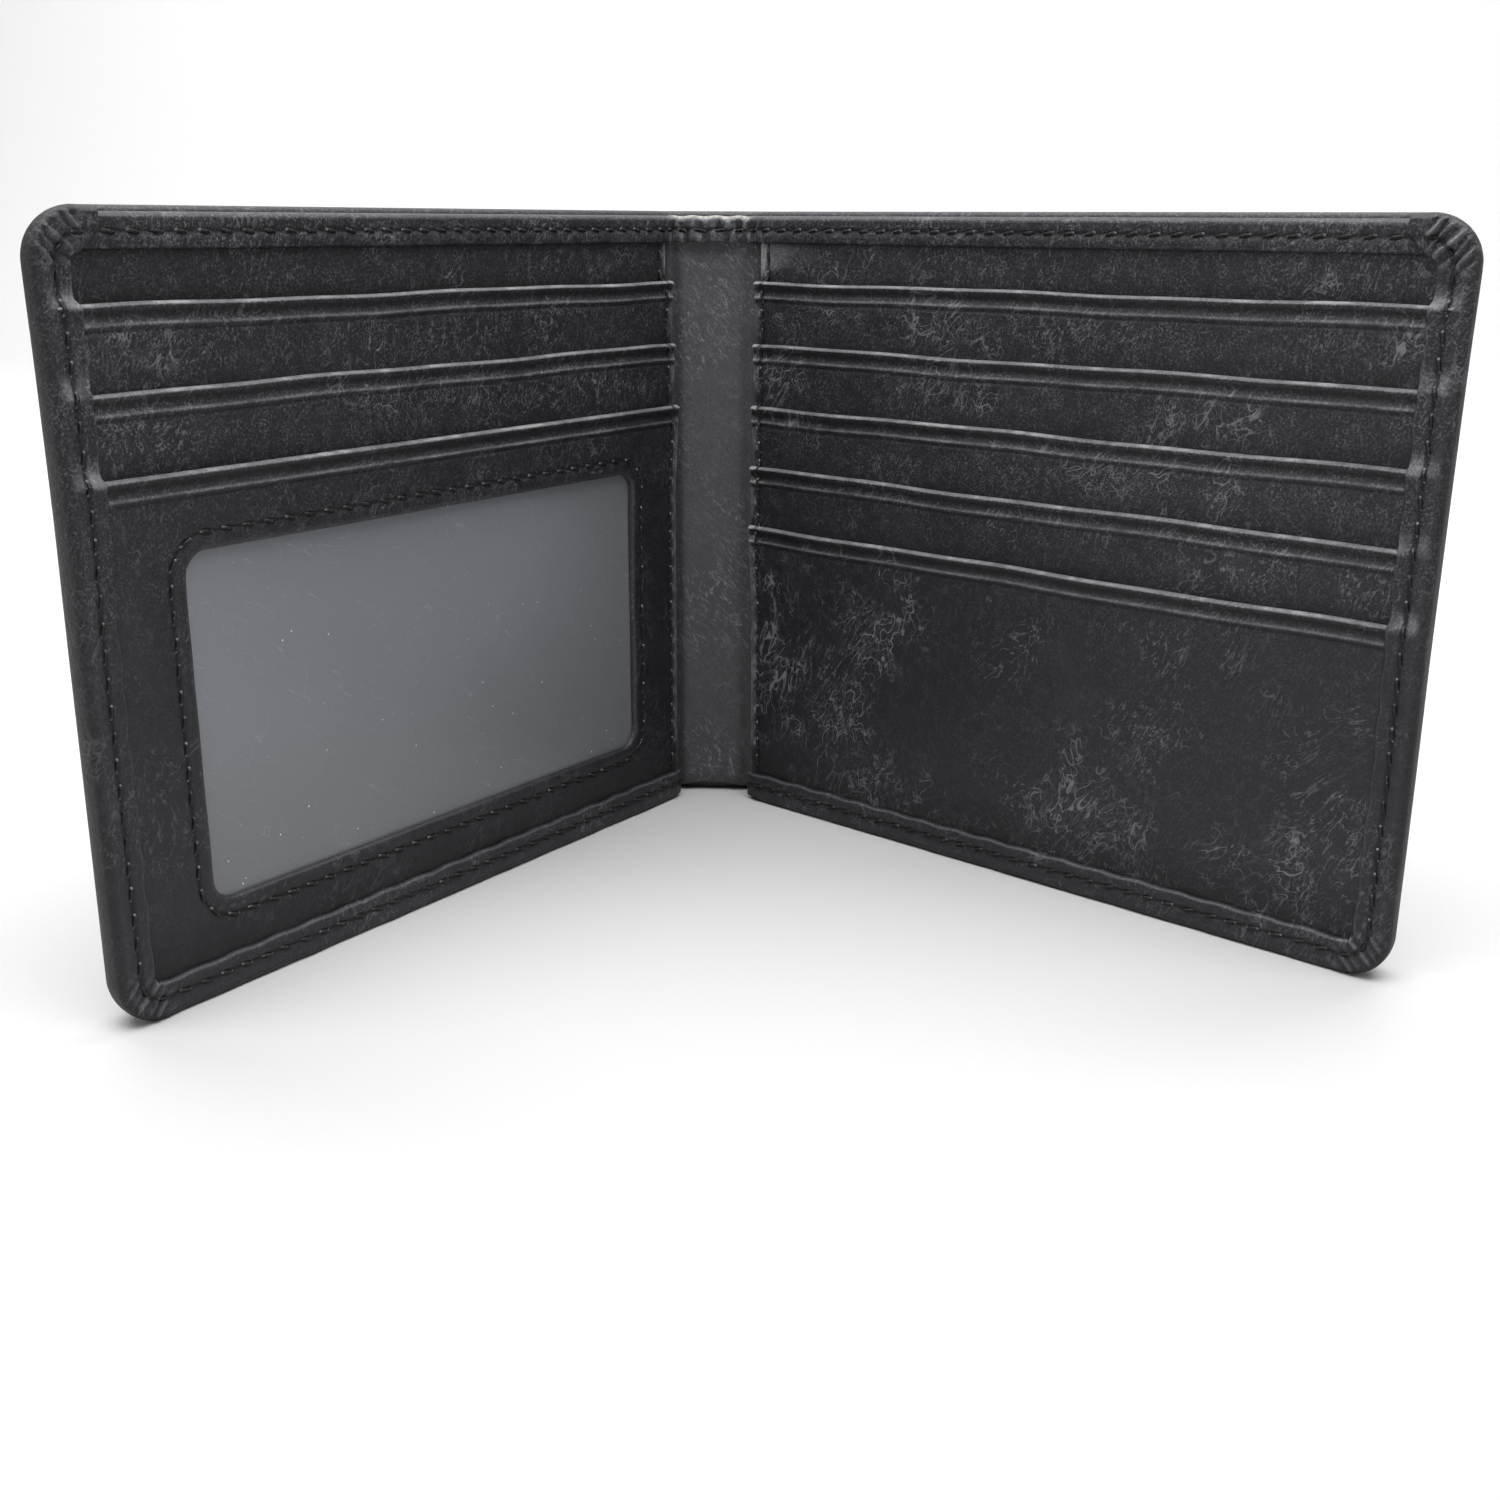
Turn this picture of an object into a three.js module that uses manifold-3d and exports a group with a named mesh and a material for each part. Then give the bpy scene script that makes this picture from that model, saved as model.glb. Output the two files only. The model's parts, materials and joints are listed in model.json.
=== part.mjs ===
// A leather bifold wallet, standing open on its bottom edge.
//
// Two wings are joined to a narrow spine at two upright fold lines. Each wing is a stack of thin
// layers. Seen from outside to inside they are the cover, a stiffening board, the cover lining, the
// bill compartment, the bill lining, a hidden slip pocket, the card panel and the card pockets. The
// cover's edge is turned over the stack at the bottom and the outer side, and sewn down.
//
// Units are millimetres, +Z is up, and the open side of the wallet faces -Y.
// Inside a wing, u runs outwards from the fold line, z runs up, and n runs inwards through the
// stack, with n = 0 on the inner face of the card panel. A wing's local X is u, or -u on the left.

import * as THREE from 'three';
import { mergeVertices } from 'three/addons/utils/BufferGeometryUtils.js';
import Module from 'manifold-3d';

const wasm = await Module();
wasm.setup();

// Overall sizes
const HEIGHT = 95; // bottom edge to top edge of the cover
const WING_WIDTH = 113; // fold line to outer edge
const FOLD_SPACING = 13.8; // between the two fold lines
const CORNER_RADIUS = 6; // outer corners of the cover
const LEFT_REST_ANGLE = 58; // degrees each wing is turned in from flat
const RIGHT_REST_ANGLE = 39;

// Material thicknesses
const COVER = 0.9;
const HEM = 0.6; // the cover's edge, pared thin where it is turned over
const BOARD = 0.3;
const COVER_LINING = 0.25;
const BILL_LINING = 0.25;
const CARD_PANEL = 0.7;
const BAND = 0.5;
const POCKET_LEATHER = 0.7;
const POCKET_LINING = 0.15;
const FILM = 0.3;
const THREAD = 0.3;
const THREAD_WIDTH = 0.4;

// Spaces
const LAYER_GAP = 0.1; // between layers that lie on each other
const BILL_OPENING = 0.3; // the bill compartment where it is narrowest, behind the band
const SLIP_SPACE = 0.3;
const FOLD_GAP = 0.2; // between the cover's panels and their fold line
const THREAD_GAP = 0.05;

// Card pockets
const POCKET_DROP = 10.4; // top of the cover down to the first pocket's edge
const POCKET_PITCH = 9.5; // from one pocket's edge down to the next
const POCKET_OVERLAP = 5; // how far a pocket's strip runs down behind the next pocket
const POCKET_DEPTH = 50; // pocket's edge down to the bottom of its lining
const BEAD = 0.2; // how far a pocket's rolled edge stands out
const BEAD_HEIGHT = 0.9;
const BEAD_SLOPE = 0.3;
const LEFT_POCKETS = 3; // the last one holds the identity window
const RIGHT_POCKETS = 5;

// Identity window
const WINDOW_FOLD_BORDER = 14.3; // fold line to the opening
const WINDOW_OUTER_BORDER = 15.2; // opening to the wing's outer edge
const WINDOW_BOTTOM_BORDER = 12; // bottom edge to the opening
const WINDOW_TOP_BORDER = 9.6; // opening to the pocket's top edge
const WINDOW_RADIUS = 3;
const FILM_BORDER = 6; // film hidden behind the leather all round

// Hems, top band and seams
const SIDE_HEM = 5.0; // width of the turned edge on the outer side
const BOTTOM_HEM = 4.9;
const CORNER_RETURN = 8; // how far the turned edge runs back along the top
const HEM_INNER_RADIUS = 1.6;
const BAND_HEIGHT = 4.0;
const DRAPE = 1.2; // length over which a hem comes down from a pocket's edge
const DRAPE_START = 0.2;
const SEAM_INSET = 2.8; // from the outer edge to the middle of the seam
const WINDOW_SEAM = 2.3; // from the opening to the middle of its seam
const EDGE_SEAM = 1.8; // from the inner edge to the middle of its seam
const BOARD_INSET = 2;

// Levels through the stack, measured along n
const BILL_LINING_FRONT = -CARD_PANEL - SLIP_SPACE;
const BILL_LINING_BACK = BILL_LINING_FRONT - BILL_LINING;
const BAND_BACK = BILL_LINING_BACK - LAYER_GAP - BAND;
const COVER_LINING_FRONT = BAND_BACK - BILL_OPENING;
const COVER_LINING_BACK = COVER_LINING_FRONT - COVER_LINING;
const BOARD_FRONT = COVER_LINING_BACK - LAYER_GAP;
const BOARD_BACK = BOARD_FRONT - BOARD;
const COVER_FRONT = BOARD_BACK - LAYER_GAP;
const COVER_BACK = COVER_FRONT - COVER;
const BAND_FRONT = LAYER_GAP + BAND;

// The fold line lies in the middle of the stack, so that leather on neither side stretches much
const FOLD_DEPTH = -COVER_BACK / 2;
// Layers on the inner side of the fold line stop short of it, so that they clear the closed spine
const INNER_EDGE = FOLD_DEPTH + BAND_FRONT + FOLD_GAP;

// Levels up the stack
const LAYER_BOTTOM = HEM + LAYER_GAP;
const LAYER_TOP = HEIGHT - HEM - LAYER_GAP;
const LAYER_OUTER = WING_WIDTH - HEM - LAYER_GAP;
const PANEL_TOP = LAYER_TOP - BAND - LAYER_GAP;
const POCKET_STRIP = POCKET_PITCH + POCKET_OVERLAP;
const WINDOW_END = WING_WIDTH - WINDOW_OUTER_BORDER;
const WINDOW_TOP = pocketTop(LEFT_POCKETS - 1) - WINDOW_TOP_BORDER;
const BAND_BOTTOM = LAYER_TOP - BAND_HEIGHT;
const SEAM_TOP = HEIGHT - SEAM_INSET;

// Each pocket starts one lining further out than the pocket above it, and leans out just enough to
// lie on that pocket's strip.
const POCKET_STEP = POCKET_LINING + LAYER_GAP;
const POCKET_LEAN = (POCKET_LEATHER + LAYER_GAP - POCKET_STEP) / POCKET_PITCH;

// The spine's seam stops short of the closed wings and their own thread
const SPINE_SEAM = FOLD_SPACING - 2 * (INNER_EDGE + THREAD_GAP + THREAD);

const ARC_STEPS = 6;
const LEAST_RADIUS = 0.5; // of a corner that an inset leaves
const BEYOND = 10; // how far a cutting solid runs past what it cuts
const MERGE_DISTANCE = 1e-5; // vertices closer than this are one

const leather = { color: 0x2b2a2d, roughness: 0.5, metalness: 0 };
const stripLeather = { color: 0x4a4a4d, roughness: 0.6, metalness: 0 };
const cloth = { color: 0x1c1c1f, roughness: 0.9, metalness: 0 };
const board = { color: 0x8c8578, roughness: 0.95, metalness: 0 };
const film = { color: 0x7b7e83, roughness: 0.35, metalness: 0 };
const threadFinish = { color: 0x151517, roughness: 0.45, metalness: 0 };

// ---------------------------------------------------------------- solids

function toSolid(geometry) {
  geometry.deleteAttribute('normal');
  geometry.deleteAttribute('uv');
  const merged = mergeVertices(geometry, MERGE_DISTANCE);
  const vertProperties = new Float32Array(merged.attributes.position.array);
  const triVerts = new Uint32Array(merged.index.array);
  return new wasm.Manifold(new wasm.Mesh({ numProp: 3, vertProperties, triVerts }));
}

function toGeometry(solid) {
  const mesh = solid.getMesh();
  const geometry = new THREE.BufferGeometry();
  const positions = new Float32Array(mesh.vertProperties);
  geometry.setAttribute('position', new THREE.BufferAttribute(positions, 3));
  geometry.setIndex(new THREE.BufferAttribute(new Uint32Array(mesh.triVerts), 1));
  geometry.computeVertexNormals();
  return geometry;
}

// A flat plate: an outline of [u, z] points, from one level of the stack to another.
function plate(side, outline, low, high) {
  const shape = new THREE.Shape(outline.map(([u, z]) => new THREE.Vector2(side * u, z)));
  const geometry = new THREE.ExtrudeGeometry(shape, { depth: high - low, bevelEnabled: false });
  geometry.translate(0, 0, low);
  geometry.rotateX(Math.PI / 2);
  return toSolid(geometry);
}

// A bar: a closed profile of [z, n] points, carried along the wing from one u to another.
function bar(side, profile, start, end) {
  const shape = new THREE.Shape(profile.map(([z, n]) => new THREE.Vector2(-n, z)));
  const geometry = new THREE.ExtrudeGeometry(shape, { depth: end - start, bevelEnabled: false });
  const [x, y, z] = [[1, 0, 0], [0, 1, 0], [0, 0, 1]].map((axis) => new THREE.Vector3(...axis));
  geometry.applyMatrix4(new THREE.Matrix4().makeBasis(y, z, x));
  geometry.translate(Math.min(side * start, side * end), 0, 0);
  return toSolid(geometry);
}

// The closed profile between two lines of [z, n] points that both run upwards.
function between(backLine, frontLine) {
  return [...backLine, ...[...frontLine].reverse()];
}

function raise(line, amount) {
  return line.map(([z, n]) => [z, n + amount]);
}

function level(n, bottom, top) {
  return [[bottom, n], [top, n]];
}

// A quarter circle of [u, z] points about a centre, between two angles in degrees.
function arc(centre, radius, from, to) {
  return Array.from({ length: ARC_STEPS + 1 }, (_, step) => {
    const angle = THREE.MathUtils.degToRad(from + ((to - from) * step) / ARC_STEPS);
    return [centre[0] + radius * Math.cos(angle), centre[1] + radius * Math.sin(angle)];
  });
}

// The wing's outline, drawn in by an inset, with its two outer corners rounded.
function wingOutline(inset, start) {
  const outer = WING_WIDTH - inset;
  const top = HEIGHT - inset;
  const radius = Math.max(CORNER_RADIUS - inset, LEAST_RADIUS);
  return [
    [start, inset],
    ...arc([outer - radius, inset + radius], radius, -90, 0),
    ...arc([outer - radius, top - radius], radius, 0, 90),
    [start, top],
  ];
}

// The identity window's outline, grown by a margin.
function windowOutline(margin) {
  const radius = WINDOW_RADIUS + margin;
  const left = WINDOW_FOLD_BORDER + WINDOW_RADIUS;
  const right = WINDOW_END - WINDOW_RADIUS;
  const low = WINDOW_BOTTOM_BORDER + WINDOW_RADIUS;
  const high = WINDOW_TOP - WINDOW_RADIUS;
  return [
    ...arc([right, low], radius, -90, 0),
    ...arc([right, high], radius, 0, 90),
    ...arc([left, high], radius, 90, 180),
    ...arc([left, low], radius, 180, 270),
  ];
}

// ---------------------------------------------------------------- pockets

function pocketTop(index) {
  return HEIGHT - POCKET_DROP - index * POCKET_PITCH;
}

function pocketLevel(wing, index) {
  const filmSpace = wing.hasWindow && index === wing.pockets - 1 ? FILM + LAYER_GAP : 0;
  return LAYER_GAP + index * POCKET_STEP + filmSpace;
}

// The back face of a pocket, from its lower end to its top edge. The last pocket of a wing runs
// down to the bottom of the stack.
function pocketBack(wing, index) {
  const top = pocketTop(index);
  const foot = pocketLevel(wing, index);
  const line = [[top - POCKET_STRIP, foot], [top, foot + POCKET_STRIP * POCKET_LEAN]];
  return index === wing.pockets - 1 ? [[LAYER_BOTTOM, foot], ...line] : line;
}

// The front face of a pocket, with the rolled bead along its top edge.
function pocketFront(wing, index) {
  const line = raise(pocketBack(wing, index), POCKET_LEATHER);
  const [top, front] = line.pop();
  const beadFoot = top - BEAD_HEIGHT - BEAD_SLOPE;
  return [
    ...line,
    [beadFoot, front - (top - beadFoot) * POCKET_LEAN],
    [top - BEAD_HEIGHT, front + BEAD],
    [top, front + BEAD],
  ];
}

// The front of the whole stack from the bottom to the top, where a hem or a seam lies on it.
function stackFront(wing) {
  const last = wing.pockets - 1;
  const line = [[-BEYOND, pocketFront(wing, last)[0][1]]];
  for (let index = last; index >= 0; index -= 1) {
    const front = pocketFront(wing, index);
    const top = pocketTop(index);
    line.push(...front.slice(index === last ? 1 : -3, -1));
    line.push([top + DRAPE_START, front.at(-1)[1]]);
    const rest = top + DRAPE_START + DRAPE;
    const above = index > 0 ? pocketFront(wing, index - 1)[0] : [rest, 0];
    line.push([rest, above[1] + (index > 0 ? (rest - above[0]) * POCKET_LEAN : 0)]);
  }
  line.push([BAND_BOTTOM - DRAPE_START - DRAPE, 0]);
  line.push([BAND_BOTTOM - DRAPE_START, BAND_FRONT]);
  line.push([HEIGHT + BEYOND, BAND_FRONT]);
  return line;
}

function pocket(wing, index) {
  const profile = between(pocketBack(wing, index), pocketFront(wing, index));
  return bar(wing.side, profile, INNER_EDGE, LAYER_OUTER);
}

function pocketLining(wing, index) {
  const foot = pocketLevel(wing, index);
  const top = pocketTop(index) - POCKET_STRIP - LAYER_GAP;
  const bottom = Math.max(pocketTop(index) - POCKET_DEPTH, LAYER_BOTTOM);
  const profile = between(level(foot, bottom, top), level(foot + POCKET_LINING, bottom, top));
  return bar(wing.side, profile, INNER_EDGE, LAYER_OUTER);
}

// The clear film lies on the back of the identity pocket and leans with it.
function windowFilm(wing) {
  const index = wing.pockets - 1;
  const front = raise(pocketBack(wing, index), -LAYER_GAP);
  const bottom = WINDOW_BOTTOM_BORDER - FILM_BORDER;
  const top = WINDOW_TOP + FILM_BORDER;
  const [bend, upper] = front.slice(1);
  const topLevel = bend[1] + (top - bend[0]) * POCKET_LEAN;
  const line = [[bottom, bend[1]], bend, [Math.min(top, upper[0]), Math.min(topLevel, upper[1])]];
  const start = WINDOW_FOLD_BORDER - FILM_BORDER;
  const end = WINDOW_END + FILM_BORDER;
  return bar(wing.side, between(raise(line, -FILM), line), start, end);
}

// ---------------------------------------------------------------- covers, bands and seams

// What lies inside the hem's inner edge or over the fold, from the board's level inwards.
function hemOpening(wing) {
  const side = WING_WIDTH - SIDE_HEM;
  const back = WING_WIDTH - CORNER_RETURN;
  const returnFoot = HEIGHT - CORNER_RADIUS;
  const outline = [
    [INNER_EDGE - BEYOND, BOTTOM_HEM],
    ...arc([side - HEM_INNER_RADIUS, BOTTOM_HEM + HEM_INNER_RADIUS], HEM_INNER_RADIUS, -90, 0),
    [side, returnFoot],
    [back, returnFoot + (side - back)],
    [back, HEIGHT + BEYOND],
    [INNER_EDGE - BEYOND, HEIGHT + BEYOND],
  ];
  const fold = [
    [-BEYOND, -BEYOND],
    [INNER_EDGE, -BEYOND],
    [INNER_EDGE, HEIGHT + BEYOND],
    [-BEYOND, HEIGHT + BEYOND],
  ];
  const opening = plate(wing.side, outline, COVER_FRONT, BEYOND);
  return opening.add(plate(wing.side, fold, COVER_FRONT, BEYOND));
}

// The cover of one wing: its outer panel, its edge turned round the stack, and the hem sewn down
// on the inner side, which drapes over the pockets' edges.
function cover(wing) {
  const { side } = wing;
  const stack = raise(stackFront(wing), LAYER_GAP);
  const hemFront = raise(stack, HEM);
  const [bottom, top] = [-BEYOND, HEIGHT + BEYOND];
  const outside = bar(side, between(level(COVER_BACK, bottom, top), hemFront), -BEYOND, WING_WIDTH);
  const inside = bar(side, between(level(COVER_FRONT, bottom, top), stack), -BEYOND, WING_WIDTH);
  const shell = outside.intersect(plate(side, wingOutline(0, FOLD_GAP), COVER_BACK, BEYOND));
  const hollow = inside.intersect(plate(side, wingOutline(HEM, -BEYOND), COVER_BACK, BEYOND));
  return shell.subtract(hollow).subtract(hemOpening(wing));
}

// A band folded over the top edge of the card panel and the bill lining.
function bandProfile() {
  const fold = LAYER_TOP - BAND;
  return [
    [BAND_BOTTOM, BAND_BACK],
    [LAYER_TOP, BAND_BACK],
    [LAYER_TOP, BAND_FRONT],
    [BAND_BOTTOM, BAND_FRONT],
    [BAND_BOTTOM, BAND_FRONT - BAND],
    [fold, BAND_FRONT - BAND],
    [fold, BAND_BACK + BAND],
    [BAND_BOTTOM, BAND_BACK + BAND],
  ];
}

// A straight seam along the band, as the raised line of its thread.
function bandThread(side, start, end) {
  const foot = BAND_FRONT + THREAD_GAP;
  const [bottom, top] = [SEAM_TOP - THREAD_WIDTH / 2, SEAM_TOP + THREAD_WIDTH / 2];
  const profile = between(level(foot, bottom, top), level(foot + THREAD, bottom, top));
  return bar(side, profile, start, end);
}

// The layer of thread that lies on a surface given as a line of [z, n] points.
function threadLayer(wing, surface) {
  const foot = raise(surface, THREAD_GAP);
  return bar(wing.side, between(foot, raise(foot, THREAD)), INNER_EDGE, WING_WIDTH);
}

// The seam in the hem: along the bottom, round the corner and up the outer side to the band.
function hemThread(wing) {
  const outer = plate(wing.side, wingOutline(SEAM_INSET - THREAD_WIDTH / 2, 0), -BEYOND, BEYOND);
  const inner = plate(wing.side, wingOutline(SEAM_INSET + THREAD_WIDTH / 2, -BEYOND), -BEYOND, BEYOND);
  const hemFront = raise(stackFront(wing), LAYER_GAP + HEM);
  const ring = outer.subtract(inner).subtract(hemOpening(wing));
  return ring.intersect(threadLayer(wing, hemFront));
}

function windowThread(wing) {
  const outer = plate(wing.side, windowOutline(WINDOW_SEAM + THREAD_WIDTH / 2), -BEYOND, BEYOND);
  const inner = plate(wing.side, windowOutline(WINDOW_SEAM - THREAD_WIDTH / 2), -BEYOND, BEYOND);
  const surface = raise(pocketBack(wing, wing.pockets - 1), POCKET_LEATHER);
  return outer.subtract(inner).intersect(threadLayer(wing, surface));
}

// The seam up the inner edge of the card panel and the pockets, from the hem to the band.
function edgeThread(wing) {
  const middle = INNER_EDGE + EDGE_SEAM;
  const outline = [
    [middle - THREAD_WIDTH / 2, BOTTOM_HEM + LAYER_GAP],
    [middle + THREAD_WIDTH / 2, BOTTOM_HEM + LAYER_GAP],
    [middle + THREAD_WIDTH / 2, BAND_BOTTOM - DRAPE - DRAPE_START],
    [middle - THREAD_WIDTH / 2, BAND_BOTTOM - DRAPE - DRAPE_START],
  ];
  return plate(wing.side, outline, -BEYOND, BEYOND).intersect(threadLayer(wing, stackFront(wing)));
}

// ---------------------------------------------------------------- assembly

function add(group, name, solid, finish) {
  const mesh = new THREE.Mesh(toGeometry(solid), new THREE.MeshStandardMaterial(finish));
  mesh.name = name;
  group.add(mesh);
}

// One wing, as a group that turns about its fold line.
function buildWing(wing) {
  const { side, name } = wing;
  const stack = new THREE.Group();
  const layers = plate(side, wingOutline(LAYER_BOTTOM, 0), -BEYOND, BEYOND);
  const place = (part, solid, finish) => add(stack, `${name}_${part}`, solid, finish);
  const sheet = (top, start, low, high) => {
    const outline = [[start, 0], [WING_WIDTH, 0], [WING_WIDTH, top], [start, top]];
    return plate(side, outline, low, high).intersect(layers);
  };

  place('cover', cover(wing), leather);
  const boardOutline = wingOutline(BOARD_INSET, BOARD_INSET);
  place('cover_board', plate(side, boardOutline, BOARD_BACK, BOARD_FRONT), board);
  const lining = sheet(LAYER_TOP, FOLD_GAP, COVER_LINING_BACK, COVER_LINING_FRONT);
  place('cover_lining', lining, cloth);
  const billLining = sheet(PANEL_TOP, INNER_EDGE, BILL_LINING_BACK, BILL_LINING_FRONT);
  place('bill_lining', billLining, cloth);
  place('card_panel', sheet(PANEL_TOP, INNER_EDGE, -CARD_PANEL, 0), leather);
  const band = bar(side, bandProfile(), INNER_EDGE, LAYER_OUTER);
  place('top_band', band.intersect(layers), leather);

  for (let index = 0; index < wing.pockets; index += 1) {
    const isWindow = wing.hasWindow && index === wing.pockets - 1;
    const solid = pocket(wing, index).intersect(layers);
    if (isWindow) {
      const opening = plate(side, windowOutline(0), -BEYOND, BEYOND);
      place('id_pocket', solid.subtract(opening), leather);
      place('id_window', windowFilm(wing), film);
      place('window_thread', windowThread(wing), threadFinish);
    } else {
      place(`pocket_${index + 1}`, solid, leather);
    }
    if (index < wing.pockets - 1) {
      const pocketCloth = pocketLining(wing, index).intersect(layers);
      place(`pocket_${index + 1}_lining`, pocketCloth, cloth);
    }
  }

  const bandEnd = WING_WIDTH - CORNER_RETURN - LAYER_GAP;
  place('hem_thread', hemThread(wing), threadFinish);
  place('band_thread', bandThread(side, INNER_EDGE, bandEnd), threadFinish);
  place('edge_thread', edgeThread(wing), threadFinish);

  const turned = new THREE.Group();
  turned.name = `${name}_wing`;
  stack.position.y = -FOLD_DEPTH;
  turned.add(stack);
  turned.position.set((side * FOLD_SPACING) / 2, FOLD_DEPTH, 0);
  turned.rotation.z = -side * THREE.MathUtils.degToRad(wing.restAngle);
  return turned;
}

// The spine: the strips of cover, linings, inner leather and band between the two fold lines.
function buildSpine() {
  const spine = new THREE.Group();
  const half = FOLD_SPACING / 2 - FOLD_GAP;
  const strip = (bottom, top, low, high) => {
    const outline = [[-half, bottom], [half, bottom], [half, top], [-half, top]];
    return plate(1, outline, low, high);
  };
  add(spine, 'spine_cover', strip(0, HEIGHT, COVER_BACK, COVER_FRONT), leather);
  const lining = strip(LAYER_BOTTOM, LAYER_TOP, COVER_LINING_BACK, COVER_LINING_FRONT);
  add(spine, 'spine_cover_lining', lining, cloth);
  const billLining = strip(LAYER_BOTTOM, PANEL_TOP, BILL_LINING_BACK, BILL_LINING_FRONT);
  add(spine, 'spine_bill_lining', billLining, cloth);
  add(spine, 'spine_strip', strip(LAYER_BOTTOM, PANEL_TOP, -CARD_PANEL, 0), stripLeather);
  add(spine, 'spine_top_band', bar(1, bandProfile(), -half, half), leather);
  add(spine, 'spine_band_thread', bandThread(1, -SPINE_SEAM / 2, SPINE_SEAM / 2), threadFinish);
  return spine;
}

const wallet = new THREE.Group();
wallet.add(buildSpine());
wallet.add(buildWing({
  name: 'left',
  side: -1,
  restAngle: LEFT_REST_ANGLE,
  pockets: LEFT_POCKETS,
  hasWindow: true,
}));
wallet.add(buildWing({
  name: 'right',
  side: 1,
  restAngle: RIGHT_REST_ANGLE,
  pockets: RIGHT_POCKETS,
  hasWindow: false,
}));

// The origin is the middle of the floor area that the open wallet covers.
wallet.updateMatrixWorld(true);
const bounds = new THREE.Box3().setFromObject(wallet, true);
const centre = bounds.getCenter(new THREE.Vector3());
wallet.position.set(-centre.x, -centre.y, -bounds.min.z);

export default wallet;
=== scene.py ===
"""A black leather bifold wallet that stands open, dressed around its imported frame.

Inside a wing a point is told by u, v and n, in millimetres: u runs outwards from the fold line, v runs
up, and n runs towards the open side, with n = 0 on the inner face of the card panel. Layers that cross
a fold are laid out flat in the same way, with u below 0 on the spine, and are then bent.
"""

import json
import logging
import math
from dataclasses import dataclass, field
from enum import Enum
from typing import Any, Callable, Sequence

import bmesh
import bpy
import numpy as np
from mathutils import Matrix, Vector

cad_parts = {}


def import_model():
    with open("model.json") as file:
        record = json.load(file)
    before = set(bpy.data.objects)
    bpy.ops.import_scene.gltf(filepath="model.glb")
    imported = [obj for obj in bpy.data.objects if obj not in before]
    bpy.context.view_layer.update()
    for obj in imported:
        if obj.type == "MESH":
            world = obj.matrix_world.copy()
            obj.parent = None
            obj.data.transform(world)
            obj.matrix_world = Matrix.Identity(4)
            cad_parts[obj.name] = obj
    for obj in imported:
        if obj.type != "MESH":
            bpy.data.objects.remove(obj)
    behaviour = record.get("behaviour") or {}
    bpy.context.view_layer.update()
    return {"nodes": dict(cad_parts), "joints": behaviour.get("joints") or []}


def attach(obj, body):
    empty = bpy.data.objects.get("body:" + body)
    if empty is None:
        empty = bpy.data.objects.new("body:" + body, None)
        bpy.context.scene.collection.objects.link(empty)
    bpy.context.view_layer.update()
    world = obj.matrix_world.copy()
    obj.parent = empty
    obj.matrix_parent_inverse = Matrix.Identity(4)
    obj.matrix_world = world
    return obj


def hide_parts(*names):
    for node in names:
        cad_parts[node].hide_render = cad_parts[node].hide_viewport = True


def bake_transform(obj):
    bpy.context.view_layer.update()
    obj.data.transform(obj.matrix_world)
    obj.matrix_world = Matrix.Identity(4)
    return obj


log = logging.getLogger("wallet")

MM = 0.001
WELD = 1e-6  # vertices closer than this, in metres, are one
NEAR = 1e-6  # places closer than this, in millimetres, are the same
TURN = 2.0 * math.pi
QUARTER = 0.5 * math.pi
DIAGONAL = math.sqrt(2.0)

Array = np.ndarray
Colour = tuple[float, float, float]
Point = tuple[float, float, float]
Level = Callable[[Array, Array], Array]


# ---------------------------------------------------------------- shapes as functions


def smooth(t: Array) -> Array:
    """A smooth step from 0 to 1 as t goes from 0 to 1."""
    held = np.clip(t, 0.0, 1.0)
    return held * held * (3.0 - 2.0 * held)


def rounded(t: Array) -> Array:
    """The rise of a quarter circle: 0 at t = 0, 1 from t = 1 on."""
    held = np.clip(t, 0.0, 1.0)
    return np.sqrt(np.maximum(1.0 - (1.0 - held) ** 2, 0.0))


def bump(t: Array, centre: float, width: float) -> Array:
    """A bell curve of height 1 about a centre."""
    return np.exp(-(((t - centre) / width) ** 2))


@dataclass(frozen=True)
class Bell:
    """A ridge or a groove: height x a bell curve of a width about a place."""

    height: float
    at: float
    width: float

    def __call__(self, t: Array) -> Array:
        """The height at t."""
        return self.height * bump(t, self.at, self.width)


@dataclass(frozen=True)
class Groove:
    """A seam pressed into leather: a narrow groove with painted shade in it, and a swell whose middle
    lies beside it.
    """

    depth: float
    width: float
    swell: float
    beside: float
    swell_width: float
    # Painted shade in the groove: how dark at most, and how wide.
    dark: float
    dark_width: float

    def relief(self, t: Array, seam: float) -> Array:
        """The height across a seam at t = seam."""
        swell = self.swell * bump(t, seam - self.beside, self.swell_width)
        return swell - self.depth * bump(t, seam, self.width)

    def shade(self, t: Array, seam: float) -> Array:
        """How much shade is painted across a seam at t = seam, darkest in its groove."""
        return self.dark * bump(t, seam, self.dark_width)


def spread(start: float, *stretches: tuple[float, float]) -> Array:
    """Grid lines from a start, each stretch given as its end and the step used up to there.

    Args:
        start: where the first line lies.
        stretches: pairs of the end of a stretch and the largest step inside it.

    Returns:
        The lines' places, rising.
    """
    lines = [np.array([start])]
    low = start
    for high, step in stretches:
        count = max(1, math.ceil((high - low) / step))
        lines.append(np.linspace(low, high, count + 1)[1:])
        low = high
    return np.concatenate(lines)


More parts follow.
